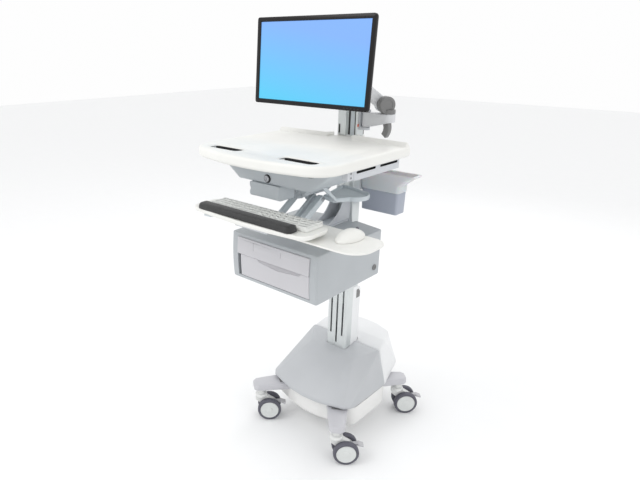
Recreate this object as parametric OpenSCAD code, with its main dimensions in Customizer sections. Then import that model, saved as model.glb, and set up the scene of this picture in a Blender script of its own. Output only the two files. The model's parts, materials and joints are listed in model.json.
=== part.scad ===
// Medication cart: wheeled base with battery, lifting column, drawer cabinet,
// work surface, keyboard tray, storage bin and display on an articulated arm.
// Millimetres, +Z up, +X to the user's right, the user stands on the -Y side.
// Positions are measured from the point midway between the casters, on the floor.

/* [Base and casters] */
// Half distance between the front caster stems, left to right
stem_x_front = 200; // [196:1:204]
// Half distance between the rear caster stems, left to right
stem_x_rear = 207; // [203:1:211]
// Half distance between the front and rear caster stems
stem_y = 218; // [216:1:222]
// Diameter of each caster wheel
wheel_d = 100; // [96:1:100]
// Height of the underside of the legs above the floor
leg_z = 144; // [142:1:146]

/* [Column] */
// Width of the fixed column
column_w = 100; // [96:2:104]
// Height of the top of the fixed column
column_top = 790; // [780:1:800]
// Width of the moving riser inside the column
riser_w = 80; // [76:2:80]

/* [Drawer cabinet] */
// Overall width of the cabinet
cabinet_w = 376; // [370:2:380]
// Height of the underside of the cabinet
cabinet_z = 709; // [705:1:712]
// Height of the cabinet from its underside to its top
cabinet_h = 176; // [174:1:180]

/* [Work surface] */
// Height of the top of the work surface
surface_z = 1200; // [1196:1:1204]
// Thickness of the work surface at its rim
surface_t = 34; // [30:1:36]

/* [Display] */
// Width of the visible screen
screen_w = 443; // [435:1:450]
// Height of the visible screen
screen_h = 249; // [245:1:255]
// Width of the frame round the screen
bezel = 15; // [12:1:18]
// Height of the middle of the screen
screen_z = 1462; // [1455:1:1470]
// Backward lean of the screen in degrees
screen_tilt = 3.7; // [0:0.1:5]

/* [Hidden] */
$fn = 48;
// Space left between separate pieces that lie against each other.
gap = 0.3;

// The model is moved so that its box is centred over the origin.
reach_right = 410;
reach_left = 286;
reach_front = 522;
reach_back = 312;
centre_x = (reach_right - reach_left) / 2;
centre_y = (reach_back - reach_front) / 2;
module placed() translate([-centre_x, -centre_y, 0]) children();

// A box given by its lowest and highest corners.
module block(lo, hi) translate(lo) cube(hi - lo);
// A plan outline raised between two heights.
module slab(points, z0, z1) translate([0, 0, z0]) linear_extrude(z1 - z0) polygon(points);
// A side outline in Y and Z, extruded along X from x0 to x1.
module side_slab(points, x0, x1)
    translate([x0, 0, 0]) rotate([90, 0, 90]) linear_extrude(x1 - x0) polygon(points);
// A cylinder along X through the point p, reaching from x0 to x1.
module rod_x(r, x0, x1, y, z) translate([x0, y, z]) rotate([0, 90, 0]) cylinder(r = r, h = x1 - x0);
// A cylinder along Y.
module rod_y(r, y0, y1, x, z) translate([x, y0, z]) rotate([-90, 0, 0]) cylinder(r = r, h = y1 - y0);
// Points of an arc about [cx, cy].
function arc(cx, cy, r, a0, a1, n = 8) =
    [for (i = [0:n]) [cx + r * cos(a0 + (a1 - a0) * i / n), cy + r * sin(a0 + (a1 - a0) * i / n)]];
// The left half of an outline that is the mirror of the right half.
function mirrored(p) = [for (i = [len(p) - 1:-1:0]) [-p[i][0], p[i][1]]];
function symmetric(p) = concat(p, mirrored(p));
// A rectangle with round corners, as points.
function round_rect(x0, y0, x1, y1, r) = concat(
    arc(x1 - r, y1 - r, r, 0, 90), arc(x0 + r, y1 - r, r, 90, 180),
    arc(x0 + r, y0 + r, r, 180, 270), arc(x1 - r, y0 + r, r, 270, 360));

// ---------- base ----------
STEMS = [
    [-stem_x_front, -stem_y], [stem_x_front, -stem_y],
    [-stem_x_rear, stem_y], [stem_x_rear, stem_y]
];
ROOTS = [[-118, -104], [118, -104], [-112, 112], [112, 112]];
leg_top = leg_z + 28;
stem_r = 6;
running = 0.05;
plate_t = 12;

// Outline of one leg seen from above, from its root to the caster stem.
module leg_plan(i, grow = 0) {
    root = ROOTS[i];
    stem = STEMS[i];
    along = (stem - root) / norm(stem - root);
    across = [-along[1], along[0]];
    polygon([root + across * (44 + grow), root - across * (44 + grow),
        stem - across * (33 + grow), stem + across * (33 + grow)]);
    translate(stem) circle(r = 33 + grow);
}

// Right half of the plan of the base covers, front to back.
cover_low = [[0, -184], [65, -179], [126, -160], [200, -102], [205, 110]];
cover_high = [[0, -184], [65, -180], [130, -167], [180, -150], [198, -128], [203, 110]];
battery_low = [[205, 110], [176, 172], [152, 292], [60, 310], [0, 312]];
battery_top = [[160, 180], [122, 258], [60, 280], [0, 285]];
cover_bottom = leg_top + 3;
cover_nose = 204;
ridge_y = 110;
ridge_z = 331;
ridge_x = 172;
// Where the top of the front cover bends from its slope to the flatter part round the column.
bend_x = 120;
bend_y = 33;
bend_z = 318;
shell = 4;

module base_frame() {
    color("#b9b9c0") placed() difference() {
        union() {
            for (i = [0:3]) translate([0, 0, leg_z]) linear_extrude(leg_top - leg_z) leg_plan(i);
            block([-150, -112, leg_z], [150, 150, leg_z + plate_t]);
            block([-60, 22, leg_z], [60, 118, leg_z + 24]);
        }
        for (s = STEMS) translate([s[0], s[1], leg_z - 1]) cylinder(r = stem_r + running, h = 26);
        block([-46, 33, leg_z - 1], [46, 106, leg_z + 40]);
    }
}

pan_bottom = 85;
pan_out = [[0, -160], [60, -155], [114, -141], [202, -112], [204, 112], [112, 160], [112, 286]];
pan_in = [[0, -156], [59, -151], [112, -137], [198, -109], [200, 110], [108, 157], [108, 282]];
module lower_pan() {
    color("#dcdcda") placed() difference() {
        slab(symmetric(pan_out), pan_bottom, cover_bottom - 1);
        slab(symmetric(pan_in), pan_bottom + shell, cover_bottom + 1);
        for (i = [0:3]) translate([0, 0, leg_z - 1]) linear_extrude(40) leg_plan(i, 1);
    }
}

// Front cover: a hull from the curved nose up to the ridge in front of the battery.
module front_form(d) hull() {
    slab(symmetric([for (p = cover_low) [p[0] - sign(p[0]) * d, p[1] + (p[1] < 0 ? d : 0)]]),
        cover_bottom - (d > 0 ? 1 : 0), cover_bottom + 12);
    slab(symmetric([for (p = cover_high) [p[0] - sign(p[0]) * d, p[1] + (p[1] < 0 ? d : 0)]]),
        cover_bottom + 16, cover_nose - d);
    block([-bend_x + d, bend_y - 6, bend_z - 12 - d], [bend_x - d, bend_y, bend_z - d]);
    block([-ridge_x + d, ridge_y - 2, ridge_z - 8 - d],
        [ridge_x - d, ridge_y + (d > 0 ? 2 : 0), ridge_z - d]);
}
module column_passage() block([-column_w / 2 - 0.5, 32.5, 100], [column_w / 2 + 0.5, 130.5, 400]);
module base_cover() {
    color("#c4c6ce") placed() difference() {
        front_form(0);
        front_form(shell);
        column_passage();
    }
}

module battery_form(d) hull() {
    slab(symmetric([for (p = battery_low) [p[0] - sign(p[0]) * d, p[1] > 120 ? p[1] - d : p[1] + gap]]),
        cover_bottom - (d > 0 ? 1 : 0), cover_bottom + 14);
    slab(symmetric([for (p = battery_top) [p[0] - sign(p[0]) * d, p[1] - d]]), 340 - d, 348 - d);
    block([-ridge_x + d, ridge_y + gap, ridge_z - 8 - d], [ridge_x - d, ridge_y + 2, ridge_z - d]);
}
module battery_cover() {
    color("#e6e7e9") placed() difference() {
        battery_form(0);
        battery_form(shell);
        column_passage();
    }
}
module battery_pack() {
    color("#3c3f44") placed() difference() {
        slab(round_rect(-105, 138, 105, 262, 10), leg_top, 318);
        for (x = [-60, 60]) block([x - 30, 137, 296], [x + 30, 141, 306]);
    }
}

// ---------- column and lift ----------
col_x = column_w / 2;
col_y0 = 33;
col_y1 = 100;
col_wall = 4;
col_r = 10;
slot_w = 8;
slot_x = 28;
riser_x = riser_w / 2;
riser_y0 = 42;
riser_y1 = 92;
riser_z0 = 520;
riser_z1 = surface_z - surface_t - 6;
module column_extrusion() {
    color("#d0d4d4") placed() difference() {
        slab(concat([[-col_x, 68]], arc(-col_x + col_r, col_y0 + col_r, col_r, 180, 270),
            arc(col_x - col_r, col_y0 + col_r, col_r, 270, 360), [[col_x, 68], [col_x - 2, 68.2],
            [col_x - 2, col_y1], [-col_x + 2, col_y1], [-col_x + 2, 68.2]]), leg_z + 24, column_top);
        block([-col_x + col_wall, col_y0 + col_wall, 100],
            [col_x - col_wall, col_y1 - col_wall, column_top + 1]);
        block([-slot_w / 2, col_y0 - 1, 336], [slot_w / 2, col_y0 + col_wall + 1, column_top + 1]);
        for (x = [-slot_x, slot_x])
            block([x - slot_w / 2, col_y0 - 1, 375], [x + slot_w / 2, col_y0 + col_wall + 1, column_top + 1]);
    }
}

// Rear cable cover with a rounded top, clipped round the back of the column.
cover_in = col_x - 2 + 0.2;
// Half width of the cable duct behind the column, narrower so that the round corners keep their wall.
duct_x = cover_in - 6;
module column_cover() {
    color("#e9eaea") placed() difference() {
        intersection() {
            slab(concat([[-col_x, 68.6]], [[col_x, 68.6]], arc(col_x - 14, 116, 14, 0, 90),
                arc(-col_x + 14, 116, 14, 90, 180)), leg_z + 25, 592);
            side_slab(concat([[60, 100], [130.1, 100]], arc(92, 554, 38, 0, 90), [[60, 592]]), -60, 60);
        }
        block([-cover_in, 60, 100], [cover_in, col_y1 + 0.2, 600]);
        block([-duct_x, 60, 100], [duct_x, 124, 540]);
        rod_x(9, col_x - 6, col_x + 2, 112, 556);
    }
}

pad_z = [620, 742];
module column_glides() {
    color("#2f3032") placed() for (z = pad_z) {
        block([-col_x + col_wall, 52, z], [-riser_x - gap, 82, z + 44]);
        block([riser_x + gap, 52, z], [col_x - col_wall, 82, z + 44]);
        block([-12, riser_y1 + gap, z], [12, col_y1 - col_wall, z + 44]);
        for (x = [-14, 14]) block([x - 6, col_y0 + col_wall, z], [x + 6, riser_y0 - gap, z + 44]);
    }
}

strut_y = 67;
strut_top = 611;
rod_foot = 510;
module lift_strut() {
    color("#4a4d52") placed() difference() {
        union() {
            translate([0, strut_y, leg_z + 2]) cylinder(r = 12, h = strut_top - leg_z - 2);
            translate([0, strut_y, leg_z + 2]) cylinder(r = 20, h = 6);
            block([-45.9, 60, leg_z + 2], [45.9, 74, leg_z + 8]);
        }
        translate([0, strut_y, leg_z + 12]) cylinder(r = 8, h = strut_top - leg_z);
    }
}
module strut_rod() {
    color("#c9cccf") placed() {
        translate([0, strut_y, rod_foot]) cylinder(r = 5, h = 967 - rod_foot);
        translate([0, strut_y, rod_foot]) cylinder(r = 7.95, h = 12);
        block([-riser_x + 3, riser_y0 + 3, 965], [riser_x - 3, riser_y1 - 3, 971]);
    }
}

module riser() {
    color("#cfd2d4") placed() difference() {
        slab(round_rect(-riser_x, riser_y0, riser_x, riser_y1, 5), riser_z0, riser_z1);
        block([-riser_x + 3, riser_y0 + 3, riser_z0 - 1], [riser_x - 3, riser_y1 - 3, riser_z1 + 1]);
        block([-3, riser_y0 - 1, 905], [3, riser_y0 + 1.5, riser_z1 + 1]);
        for (x = [-26, 26]) block([x - 3, riser_y0 - 1, 905], [x + 3, riser_y0 + 1.5, riser_z1 + 1]);
    }
}

cabinet_top = cabinet_z + cabinet_h;
// Everything that travels past the column is in front of it, or is a fin thin enough for its slots.
fin_z0 = 736;
fin_t = 3.6;
plate_front = 28;
plate_back = col_y0 - 0.6;
gusset = concat([[riser_y0, 1008], [riser_y0, cabinet_top], [-120, cabinet_top], [-120, cabinet_top + 8]],
    arc(-110, 1008, 112, 275, 340, 8));
// Arm behind the work surface that the bin hangs on by the lip of its collar.
module bin_hanger() {
    block([riser_x, 62, 1146], [bin_x0 - 3.3, 84, 1160]);
    block([bin_x0 - 10, 62, rim_z - 10], [bin_x0 - 3.3, 84, 1160]);
    block([bin_x0 - 10, 62, rim_z - 10], [bin_x0 - gap, 84, rim_z - gap]);
}
module lift_bracket() {
    color("#c3c8cc") placed() {
        block([-riser_x, plate_front, fin_z0], [riser_x, plate_back, cabinet_top + 5]);
        for (x = [-slot_x, 0, slot_x])
            block([x - fin_t / 2, plate_front, fin_z0], [x + fin_t / 2, riser_y0, cabinet_top + 5]);
        for (x = [-slot_x, slot_x]) side_slab(gusset, x - fin_t / 2, x + fin_t / 2);
        block([-riser_x + 5, -120, cabinet_top], [riser_x - 5, plate_back, cabinet_top + 5]);
        bin_hanger();
    }
}

mast_top = 1330;
module mast() {
    color("#d6d8da") placed() {
        difference() {
            slab(round_rect(-riser_x, riser_y0, riser_x, riser_y1, 5), riser_z1, mast_top);
            block([-riser_x + 3, riser_y0 + 3, riser_z1 - 1], [riser_x - 3, riser_y1 - 3, mast_top - 4]);
            block([8, riser_y0 - 1, 1205], [13, riser_y0 + 2, mast_top + 1]);
            block([-2, riser_y0 - 1, 1205], [2, riser_y0 + 2, mast_top + 1]);
        }
        difference() {
            block([-riser_x, 36.2, 1204], [-5, riser_y0, mast_top]);
            block([-riser_x + 5, 36, 1203], [-riser_x + 11, 39, 1240]);
        }
    }
}

pin_x = 62;
pin_y = 67;
pin_r = 6;
link_z0 = 1236;
link_top = 1290;
module mast_collar() {
    color("#b9bdc2") placed() {
        slab(concat([[riser_x, 52], [pin_x, 52]], arc(pin_x, pin_y, 15, -90, 90), [[riser_x, 82]]),
            link_z0 - 10, link_z0 - gap);
        slab([[riser_x, 52], [riser_x + 5, 52], [riser_x + 5, 82], [riser_x, 82]],
            link_z0 - gap, link_top + gap);
        slab(concat([[riser_x, 52], [pin_x, 52]], arc(pin_x, pin_y, 15, -90, 90), [[riser_x, 82]]),
            link_top + gap, link_top + 8);
        translate([pin_x, pin_y, link_z0 - gap]) cylinder(r = pin_r, h = link_top - link_z0 + 2 * gap);
    }
}

// ---------- work surface ----------
surface_under = surface_z - surface_t;
corner_r = 100;
corner_x = reach_left - corner_r;
corner_y = -382;
surface_half = concat([[0, -508], [70, -505], [140, -494.5]],
    arc(corner_x, corner_y, corner_r, -75, 0, 10), [[reach_left, -20]],
    arc(reach_left - 12, -8, 12, 0, 90, 4), [[78, 5], [60, 36]]);
pocket_half = concat([[0, -493], [70, -490], [136, -480]],
    arc(corner_x, corner_y, corner_r - 14, -75, 0, 8), [[reach_left - 14, -20], [60, -8]]);
handle_x0 = 86;
handle_x1 = 222;
handle_y0 = -441;
handle_y1 = -399;
rim_rise = 14;
module handle_opening(grow, z0, z1) for (s = [-1, 1])
    slab(round_rect(s > 0 ? handle_x0 - grow : -handle_x1 - grow, handle_y0 - grow,
        s > 0 ? handle_x1 + grow : -handle_x0 + grow, handle_y1 + grow, 12 + grow), z0, z1);
module work_surface() {
    color("#eeeeec") placed() difference() {
        union() {
            slab(symmetric(surface_half), surface_under, surface_z);
            for (s = [-1, 1]) translate([0, 0, surface_z])
                linear_extrude(rim_rise) polygon([[s * 50, -14], [s * 277, -26], [s * 285, -6], [s * 276, 3],
                    [s * 78, 5], [s * 60, 36], [s * 50, 36]]);
        }
        slab(symmetric(pocket_half), surface_under - 1, surface_z - 7);
        handle_opening(0, surface_z - 40, surface_z + 1);
        block([-50, 33, surface_under - 1], [50, 40, surface_z + 20]);
    }
}

insert_z = 1158;
module handle_inserts() {
    color("#2b2b2d") placed() difference() {
        handle_opening(4, insert_z, surface_z - 7 - gap);
        handle_opening(-1, insert_z + 3, surface_z);
    }
}

tub_under = 1089;
tub_front = -370;
tub_half = [[0, tub_under], [150, tub_under], [200, 1123], [238, surface_under - gap],
    [0, surface_under - gap]];
tub_hollow = [[0, tub_under + 4], [148, tub_under + 4], [196, 1126], [232, surface_under],
    [0, surface_under]];
// An outline in X and Z, extruded along Y from y0 to y1.
module front_slab(points, y0, y1)
    translate([0, y1, 0]) rotate([90, 0, 0]) linear_extrude(y1 - y0) polygon(points);
module work_tub() {
    color("#a9b1b8") placed() difference() {
        front_slab(symmetric(tub_half), tub_front, -60);
        front_slab(symmetric(tub_hollow), tub_front + 4, -64);
        rod_y(8 + running, tub_front - 1, tub_front + 5, lock_x, lock_z);
    }
}
lock_x = -19;
lock_z = 1108;
module surface_lock() {
    color("#c8cacc") placed() {
        rod_y(8, tub_front - 3, tub_front + 12, lock_x, lock_z);
        difference() {
            rod_y(11, tub_front - 8, tub_front - gap, lock_x, lock_z);
            block([lock_x - 1, tub_front - 9, lock_z - 6], [lock_x + 1, tub_front - 4, lock_z + 6]);
        }
        block([lock_x - 3, tub_front + 8, lock_z], [lock_x + 3, tub_front + 12, lock_z + 22]);
    }
}
module console_box() {
    color("#a7b3bb") placed() difference() {
        side_slab([[-375, 1044], [-369, 1040], [-296, 1040], [-296, tub_under - gap],
            [-375, tub_under - gap]], -97, 36);
        side_slab([[-371, 1044], [-300, 1044], [-300, tub_under + 1], [-371, tub_under + 1]],
            -93, 32);
    }
}

// ---------- keyboard arm ----------
arm_y = -190;
arm_z = 1020;
head_y = -290;
head_z = 958;
arm_rod = 5;
housing_arc = concat([[-74, tub_under - gap]], arc(0, 1098, 76, 188, 352, 12), [[74, tub_under - gap]]);
STRUTS = [[-46, -34], [26, 38], [52, 74]];
EARS = [[-30, -18], [4, 22]];
module arm_housing() {
    color("#b0b8be") placed() difference() {
        union() {
            translate([0, -120, 0]) rotate([90, 0, 0]) linear_extrude(140) polygon(housing_arc);
            for (s = EARS) side_slab(concat([[arm_y - 14, 1040], [arm_y + 14, 1040]],
                arc(arm_y, arm_z, 14, 0, -180, 10)), s[0], s[1]);
        }
        rod_x(arm_rod + running, -60, 90, arm_y, arm_z);
        for (s = STRUTS) {
            block([s[0] - 2, arm_y - 46, 1000], [s[1] + 2, arm_y + 24, 1046]);
            block([s[0] - 2, arm_y - 72, 1000], [s[1] + 2, arm_y - 45, 1034]);
        }
    }
}
// One flat strut between the upper and lower pivots.
module strut(x0, x1, w) {
    along = [head_y - arm_y, head_z - arm_z] / norm([head_y - arm_y, head_z - arm_z]);
    n = [-along[1], along[0]] * w;
    side_slab([[arm_y, arm_z] + n, [arm_y, arm_z] - n, [head_y, head_z] - n, [head_y, head_z] + n], x0, x1);
    rod_x(w, x0, x1, arm_y, arm_z);
    rod_x(w, x0, x1, head_y, head_z);
}
module tray_arm() {
    color("#b4c0c8") placed() {
        for (s = STRUTS) strut(s[0], s[1], 12);
        rod_x(arm_rod, -34, 52, arm_y, arm_z);
        rod_x(arm_rod, -34, 52, head_y, head_z);
    }
}
module tray_head() {
    color("#9fa6ac") placed() difference() {
        union() {
            for (s = EARS) side_slab(concat(arc(head_y, head_z, 13, -150, 0, 8),
                [[head_y + 13, 962], [-306, 966], [-330, 966], [-330, 960]]), s[0], s[1]);
            block([-70, -470, 962], [70, -308, 968]);
            for (x = [-70, 62]) side_slab(concat(arc(tilt_pin_y, tilt_pin_z, 12, -180, 0, 8),
                [[tilt_pin_y + 12, 972], [tilt_pin_y - 12, 972]]), x, x + 8);
        }
        for (x = [-62, 52]) block([x, tilt_pin_y - 14, 950], [x + 10, tilt_pin_y + 14, 980]);
        rod_x(arm_rod + running, -60, 90, head_y, head_z);
        rod_x(3 + running, -80, 80, tilt_pin_y, tilt_pin_z);
    }
}
tray_z = 986;
tilt_pin_y = -400;
tilt_pin_z = 960;
tray_top = 1002;
tray_half = concat([[0, -522], [120, -517]], arc(212, -468, 40, -75, 0, 6), arc(222, -408, 30, 0, 90, 5),
    [[60, -378]]);
module keyboard_tray() {
    color("#ecedeb") placed() difference() {
        union() {
            slab(symmetric(tray_half), tray_z, tray_top);
            for (x = [-60, 54]) side_slab(concat(arc(tilt_pin_y, tilt_pin_z, 9, -180, 0, 8),
                [[tilt_pin_y + 9, tray_z + 1], [tilt_pin_y - 9, tray_z + 1]]), x, x + 6);
            rod_x(3, -70, -54, tilt_pin_y, tilt_pin_z);
            rod_x(3, 54, 70, tilt_pin_y, tilt_pin_z);
        }
        slab(symmetric([[0, -516], [150, -508], [236, -460], [240, -410], [60, -384]]),
            tray_z + 4, tray_z + 7);
    }
}
module palm_rest() {
    color("#3e3e40") placed()
        translate([-208, 0, 0]) rotate([90, 0, 90]) linear_extrude(406)
            polygon(concat([[-513, tray_top], [-467, tray_top]], arc(-476, 1013, 9, 0, 90, 4),
                arc(-504, 1013, 9, 90, 180, 4)));
}
key_rows = 4;
key_cols = 20;
key_pitch = [21.2, 18.6];
key_size = [18.2, 15.6, 4];
key_start = [-202, -461];
module keyboard() {
    color("#e3e5e3") placed() {
        slab(round_rect(-208, -465, 226, -384, 6), tray_top, tray_top + 10);
        for (row = [0:key_rows - 1], col = [0:key_cols - 1])
            translate([key_start[0] + col * key_pitch[0], key_start[1] + row * key_pitch[1], tray_top + 10])
                cube(key_size);
    }
}
mouse_z = 974;
tray_out = concat([[140, -464], [330, -464]], arc(345, -398, 65, -80, 0, 8), arc(360, -350, 50, 0, 90, 6),
    [[140, -300]]);
module mouse_tray() {
    color("#e8e9e8") placed() slab(tray_out, mouse_z - 6, mouse_z);
    color("#e8e9e8") placed()
        slab([[140, -464], [160, -464], [160, -300], [140, -300]], mouse_z, tray_z - gap);
}
module mouse() {
    color("#e8e8e6") placed() translate([302, -352, mouse_z + gap]) intersection() {
        slab([for (a = [0:10:350]) [36 * cos(a), 62 * sin(a)]], 0, 36);
        translate([0, 0, -64]) rotate([0, 90, 0]) translate([0, 0, -50]) cylinder(r = 100, h = 100, $fn = 96);
    }
}

// ---------- side rails and cable scoop ----------
rail_x = 264;
module side_rails() {
    color("#c5c9ce") placed() for (s = [0, 1]) mirror([s, 0, 0]) difference() {
        union() {
            block([rail_x - 8, -292, 1131], [rail_x, -30, surface_under - gap]);
            block([rail_x - 24, -322, 1134], [rail_x - 2, -292, surface_under - gap]);
        }
        for (y = [-280, -148]) {
            block([rail_x - 10, y + 4, 1152], [rail_x + 1, y + 102, 1160]);
            for (end = [y + 4, y + 102]) rod_x(4, rail_x - 10, rail_x + 1, end, 1156);
        }
    }
}
scoop_z = 1006;
module cable_scoop() {
    color("#b6c3ca") placed() {
        slab(concat([[2, plate_front - 4], [38, plate_front - 4]], arc(112, -60, 56, 60, -70, 8),
            [[100, -168], [44, -150]]), scoop_z, scoop_z + 4);
        difference() {
            slab(arc(112, -60, 56, 60, -70, 8), scoop_z + 4, scoop_z + 16);
            slab(arc(112, -60, 52, 66, -76, 8), scoop_z + 3, scoop_z + 17);
        }
        side_slab([[-160, scoop_z + 4], [-148, scoop_z + 4], [-240, tub_under - gap],
            [-262, tub_under - gap]], 104, 110);
    }
}

// ---------- cabinet and drawer ----------
cab_x = cabinet_w / 2;
cab_left = cab_x + 17;
cab_plan = [[-cab_left, 22], [-56, 48], [-56, 28], [56, 28], [56, 48], [cab_x, 22],
    [cab_x, -350], [cab_x - 6, -356], [-cab_left + 3, -356], [-cab_left, -350]];
cav_x0 = -174.5;
cav_x1 = 158.5;
cav_z0 = cabinet_z + 14;
cav_z1 = cabinet_top - 13;
module cabinet_shell() {
    color("#b3b9bd") placed() difference() {
        slab(cab_plan, cabinet_z, cabinet_top);
        block([cav_x0, -360, cav_z0], [cav_x1, 12, cav_z1]);
        block([-cab_left + 5, -330, cav_z0 + 6], [cav_x0 + 1, 0, cav_z1 - 6]);
        block([cav_x1 - 1, -330, cav_z0 + 6], [cab_x - 5, 0, cav_z1 - 6]);
        rod_x(8 + running, cab_x - 8, cab_x + 1, -16, 747);
    }
}
module cabinet_lock() {
    color("#8d9196") placed() {
        rod_x(8, cab_x - 12, cab_x, -16, 747);
        difference() {
            rod_x(11, cab_x + gap, cab_x + 4, -16, 747);
            block([cab_x + 2, -17, 741], [cab_x + 5, -15, 753]);
        }
        rod_x(8, cab_x - 0.1, cab_x + 1, -16, 747);
        block([cab_x - 12, -32, 744], [cab_x - 9, -16, 750]);
    }
}
runner_z = 770;
module cabinet_runners() {
    color("#9a9da1") placed() {
        block([-cab_left + 5, -326, runner_z], [-152.4, -4, runner_z + 26]);
        block([152.4, -326, runner_z], [cab_x - 5, -4, runner_z + 26]);
    }
}
front_y = -358;
module drawer_tray() {
    color("#d9dadd") placed() {
        difference() {
            block([-149, -344, cav_z0 + 4], [149, 2, 850]);
            block([-146, -341, cav_z0 + 7], [146, -1, 851]);
        }
        for (x = [-46, 43]) block([x, -341, cav_z0 + 7], [x + 3, -1, 800]);
        for (s = [-1, 1])
            block([s > 0 ? 149 : -152, -340, runner_z + 6], [s > 0 ? 152 : -149, -10, runner_z + 20]);
    }
}
module drawer_front() {
    color("#cfced4") placed() difference() {
        block([-159, front_y, cav_z0 + 1.5], [158, -344, 808]);
        translate([0, front_y - 1, 0]) rotate([-90, 0, 0]) linear_extrude(8)
            polygon([for (t = [0:10]) [-105 + 25.5 * t, -808 + 10 * sin(18 * t)], [150, -812], [-105, -812]]);
    }
}
module drawer_header() {
    color("#d2d1d7") placed() difference() {
        block([-173.5, front_y - 3, 809], [158, -344, cav_z1 - 0.6]);
        block([-94, front_y - 4, 836], [-91, front_y - 1, cav_z1 - 8]);
        block([34, front_y - 4, 842], [37, front_y - 1, cav_z1 - 12]);
    }
}

// ---------- storage bin behind the work surface ----------
bin_x0 = 64;
bin_x1 = 218;
bin_y0 = 60;
bin_y1 = 124;
bin_z0 = 932;
bin_z1 = 1040;
rim_z = 1014;
module bin_body() {
    color("#969cab") placed() difference() {
        slab(round_rect(bin_x0, bin_y0, bin_x1, bin_y1, 9), bin_z0, bin_z1);
        slab(round_rect(bin_x0 + 3, bin_y0 + 3, bin_x1 - 3, bin_y1 - 3, 7), bin_z0 + 3, bin_z1 + 1);
    }
}
// Collar that slides down over the mouth of the bin and flares to a pouring lip on the right.
module bin_rim() {
    color("#dcdee2") placed() difference() {
        union() {
            slab(round_rect(bin_x0 - 3, bin_y0 - 3, bin_x1 + 3, bin_y1 + 3, 12), rim_z, 1082);
            translate([0, bin_y1, 0]) rotate([90, 0, 0]) linear_extrude(bin_y1 - bin_y0)
                polygon([[bin_x1, 1030], [bin_x1 + 12, 1040], [272, 1074], [276, 1082], [bin_x1, 1082]]);
        }
        slab(round_rect(bin_x0, bin_y0, bin_x1, bin_y1, 9), rim_z - 1, bin_z1);
        slab(round_rect(bin_x0 + 3, bin_y0 + 3, bin_x1 - 3, bin_y1 - 3, 7), bin_z1 - 1, 1083);
        translate([0, bin_y1 - 4, 0]) rotate([90, 0, 0]) linear_extrude(bin_y1 - bin_y0 - 8)
            polygon([[bin_x1 - 5, 1044], [bin_x1 + 10, 1044], [266, 1078], [268, 1083], [bin_x1 - 5, 1083]]);
    }
}

// ---------- display arm ----------
elbow_pin_x = 150;
arm_turn = 236.2;
arm_at = [130, pin_y, 1320];
arm_reach = 176;
arm_rise = 132;
barrel_r = 29;
link_half = 15;
module arm_frame() translate(arm_at) rotate([0, 0, arm_turn]) children();
module arm_link() {
    color("#d8dadd") placed() difference() {
        union() {
            translate([0, pin_y + link_half - 0.4, 0]) rotate([90, 0, 0]) linear_extrude(2 * link_half - 0.8)
                polygon([[pin_x, link_z0], [90, link_z0 + 4], [elbow_pin_x, 1260], [elbow_pin_x, link_top],
                    [pin_x, link_top]]);
            translate([pin_x, pin_y, link_z0]) cylinder(r = link_half, h = link_top - link_z0);
            translate([elbow_pin_x, pin_y, 1260]) cylinder(r = 27, h = link_top - 1260);
        }
        translate([pin_x, pin_y, link_z0 - 1]) cylinder(r = pin_r + running, h = 60);
        translate([elbow_pin_x, pin_y, 1270]) cylinder(r = 8 + running, h = 30);
    }
}
module cable_hook() {
    color("#77797c") placed() translate([0, pin_y + 11, 0]) rotate([90, 0, 0]) linear_extrude(22)
        polygon(concat([[138, 1256], [150, 1260], [160, 1260]], arc(110, 1240, 52, 22, -40, 8),
            arc(110, 1240, 30, -40, 28, 8)));
}
module elbow() {
    color("#7e8083") placed() {
        translate([elbow_pin_x, pin_y, 1272]) cylinder(r = 8, h = 20);
        difference() {
            translate([elbow_pin_x, pin_y, link_top + gap]) cylinder(r = 25, h = 14);
            arm_frame() rotate([90, 0, 0]) translate([0, 0, -2 + gap])
                cylinder(r = barrel_r - 3 + 0.5, h = 60);
        }
        arm_frame() rotate([90, 0, 0]) translate([0, 0, -34]) cylinder(r = barrel_r, h = 32);
        arm_frame() rotate([90, 0, 0]) translate([0, 0, -3]) cylinder(r = 7, h = 34);
    }
}
module upper_arm() {
    slope = atan2(arm_rise, arm_reach);
    length = norm([arm_reach, arm_rise]);
    color("#d5d7da") placed() arm_frame() difference() {
        union() {
            rotate([90, 0, 0]) translate([0, 0, -2 + gap]) cylinder(r = barrel_r - 3, h = 28);
            rotate([0, -slope, 0]) difference() {
                rotate([90, 0, 0]) linear_extrude(26)
                    polygon([[0, -22], [length, -17], [length, 17], [0, 22]]);
                block([length - 30, -20, -30], [length + 30, -6, 30]);
            }
            translate([arm_reach, 0, arm_rise]) rotate([90, 0, 0]) cylinder(r = 20, h = 6);
            translate([arm_reach, -20, arm_rise]) rotate([90, 0, 0]) cylinder(r = 20, h = 6);
        }
        rotate([90, 0, 0]) translate([0, 0, -10]) cylinder(r = 7 + running, h = 50);
        translate([arm_reach, 5, arm_rise]) rotate([90, 0, 0]) cylinder(r = 6 + running, h = 40);
    }
}
pan_y = -104;
pan_r = 9;
module arm_head() {
    color("#7e8083") placed() {
        arm_frame() translate([arm_reach, -6 - gap, arm_rise]) rotate([90, 0, 0])
            cylinder(r = 17, h = 14 - 2 * gap);
        arm_frame() translate([arm_reach, 0, arm_rise]) rotate([90, 0, 0]) cylinder(r = 6, h = 26);
        difference() {
            union() {
                translate([0, pan_y, 1430]) cylinder(r = 16, h = 6);
                arm_frame() block([arm_reach, -19, arm_rise - 26], [arm_reach + 46, -7, arm_rise - 14]);
                arm_frame() block([arm_reach - 6, -19, arm_rise - 26], [arm_reach + 6, -7, arm_rise]);
            }
            translate([0, pan_y, 1436]) cylinder(r = 17, h = 60);
        }
        translate([0, pan_y, 1432]) cylinder(r = pan_r, h = 60);
    }
}
tilt_y = -133;
turn_pin_r = 6;
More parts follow.
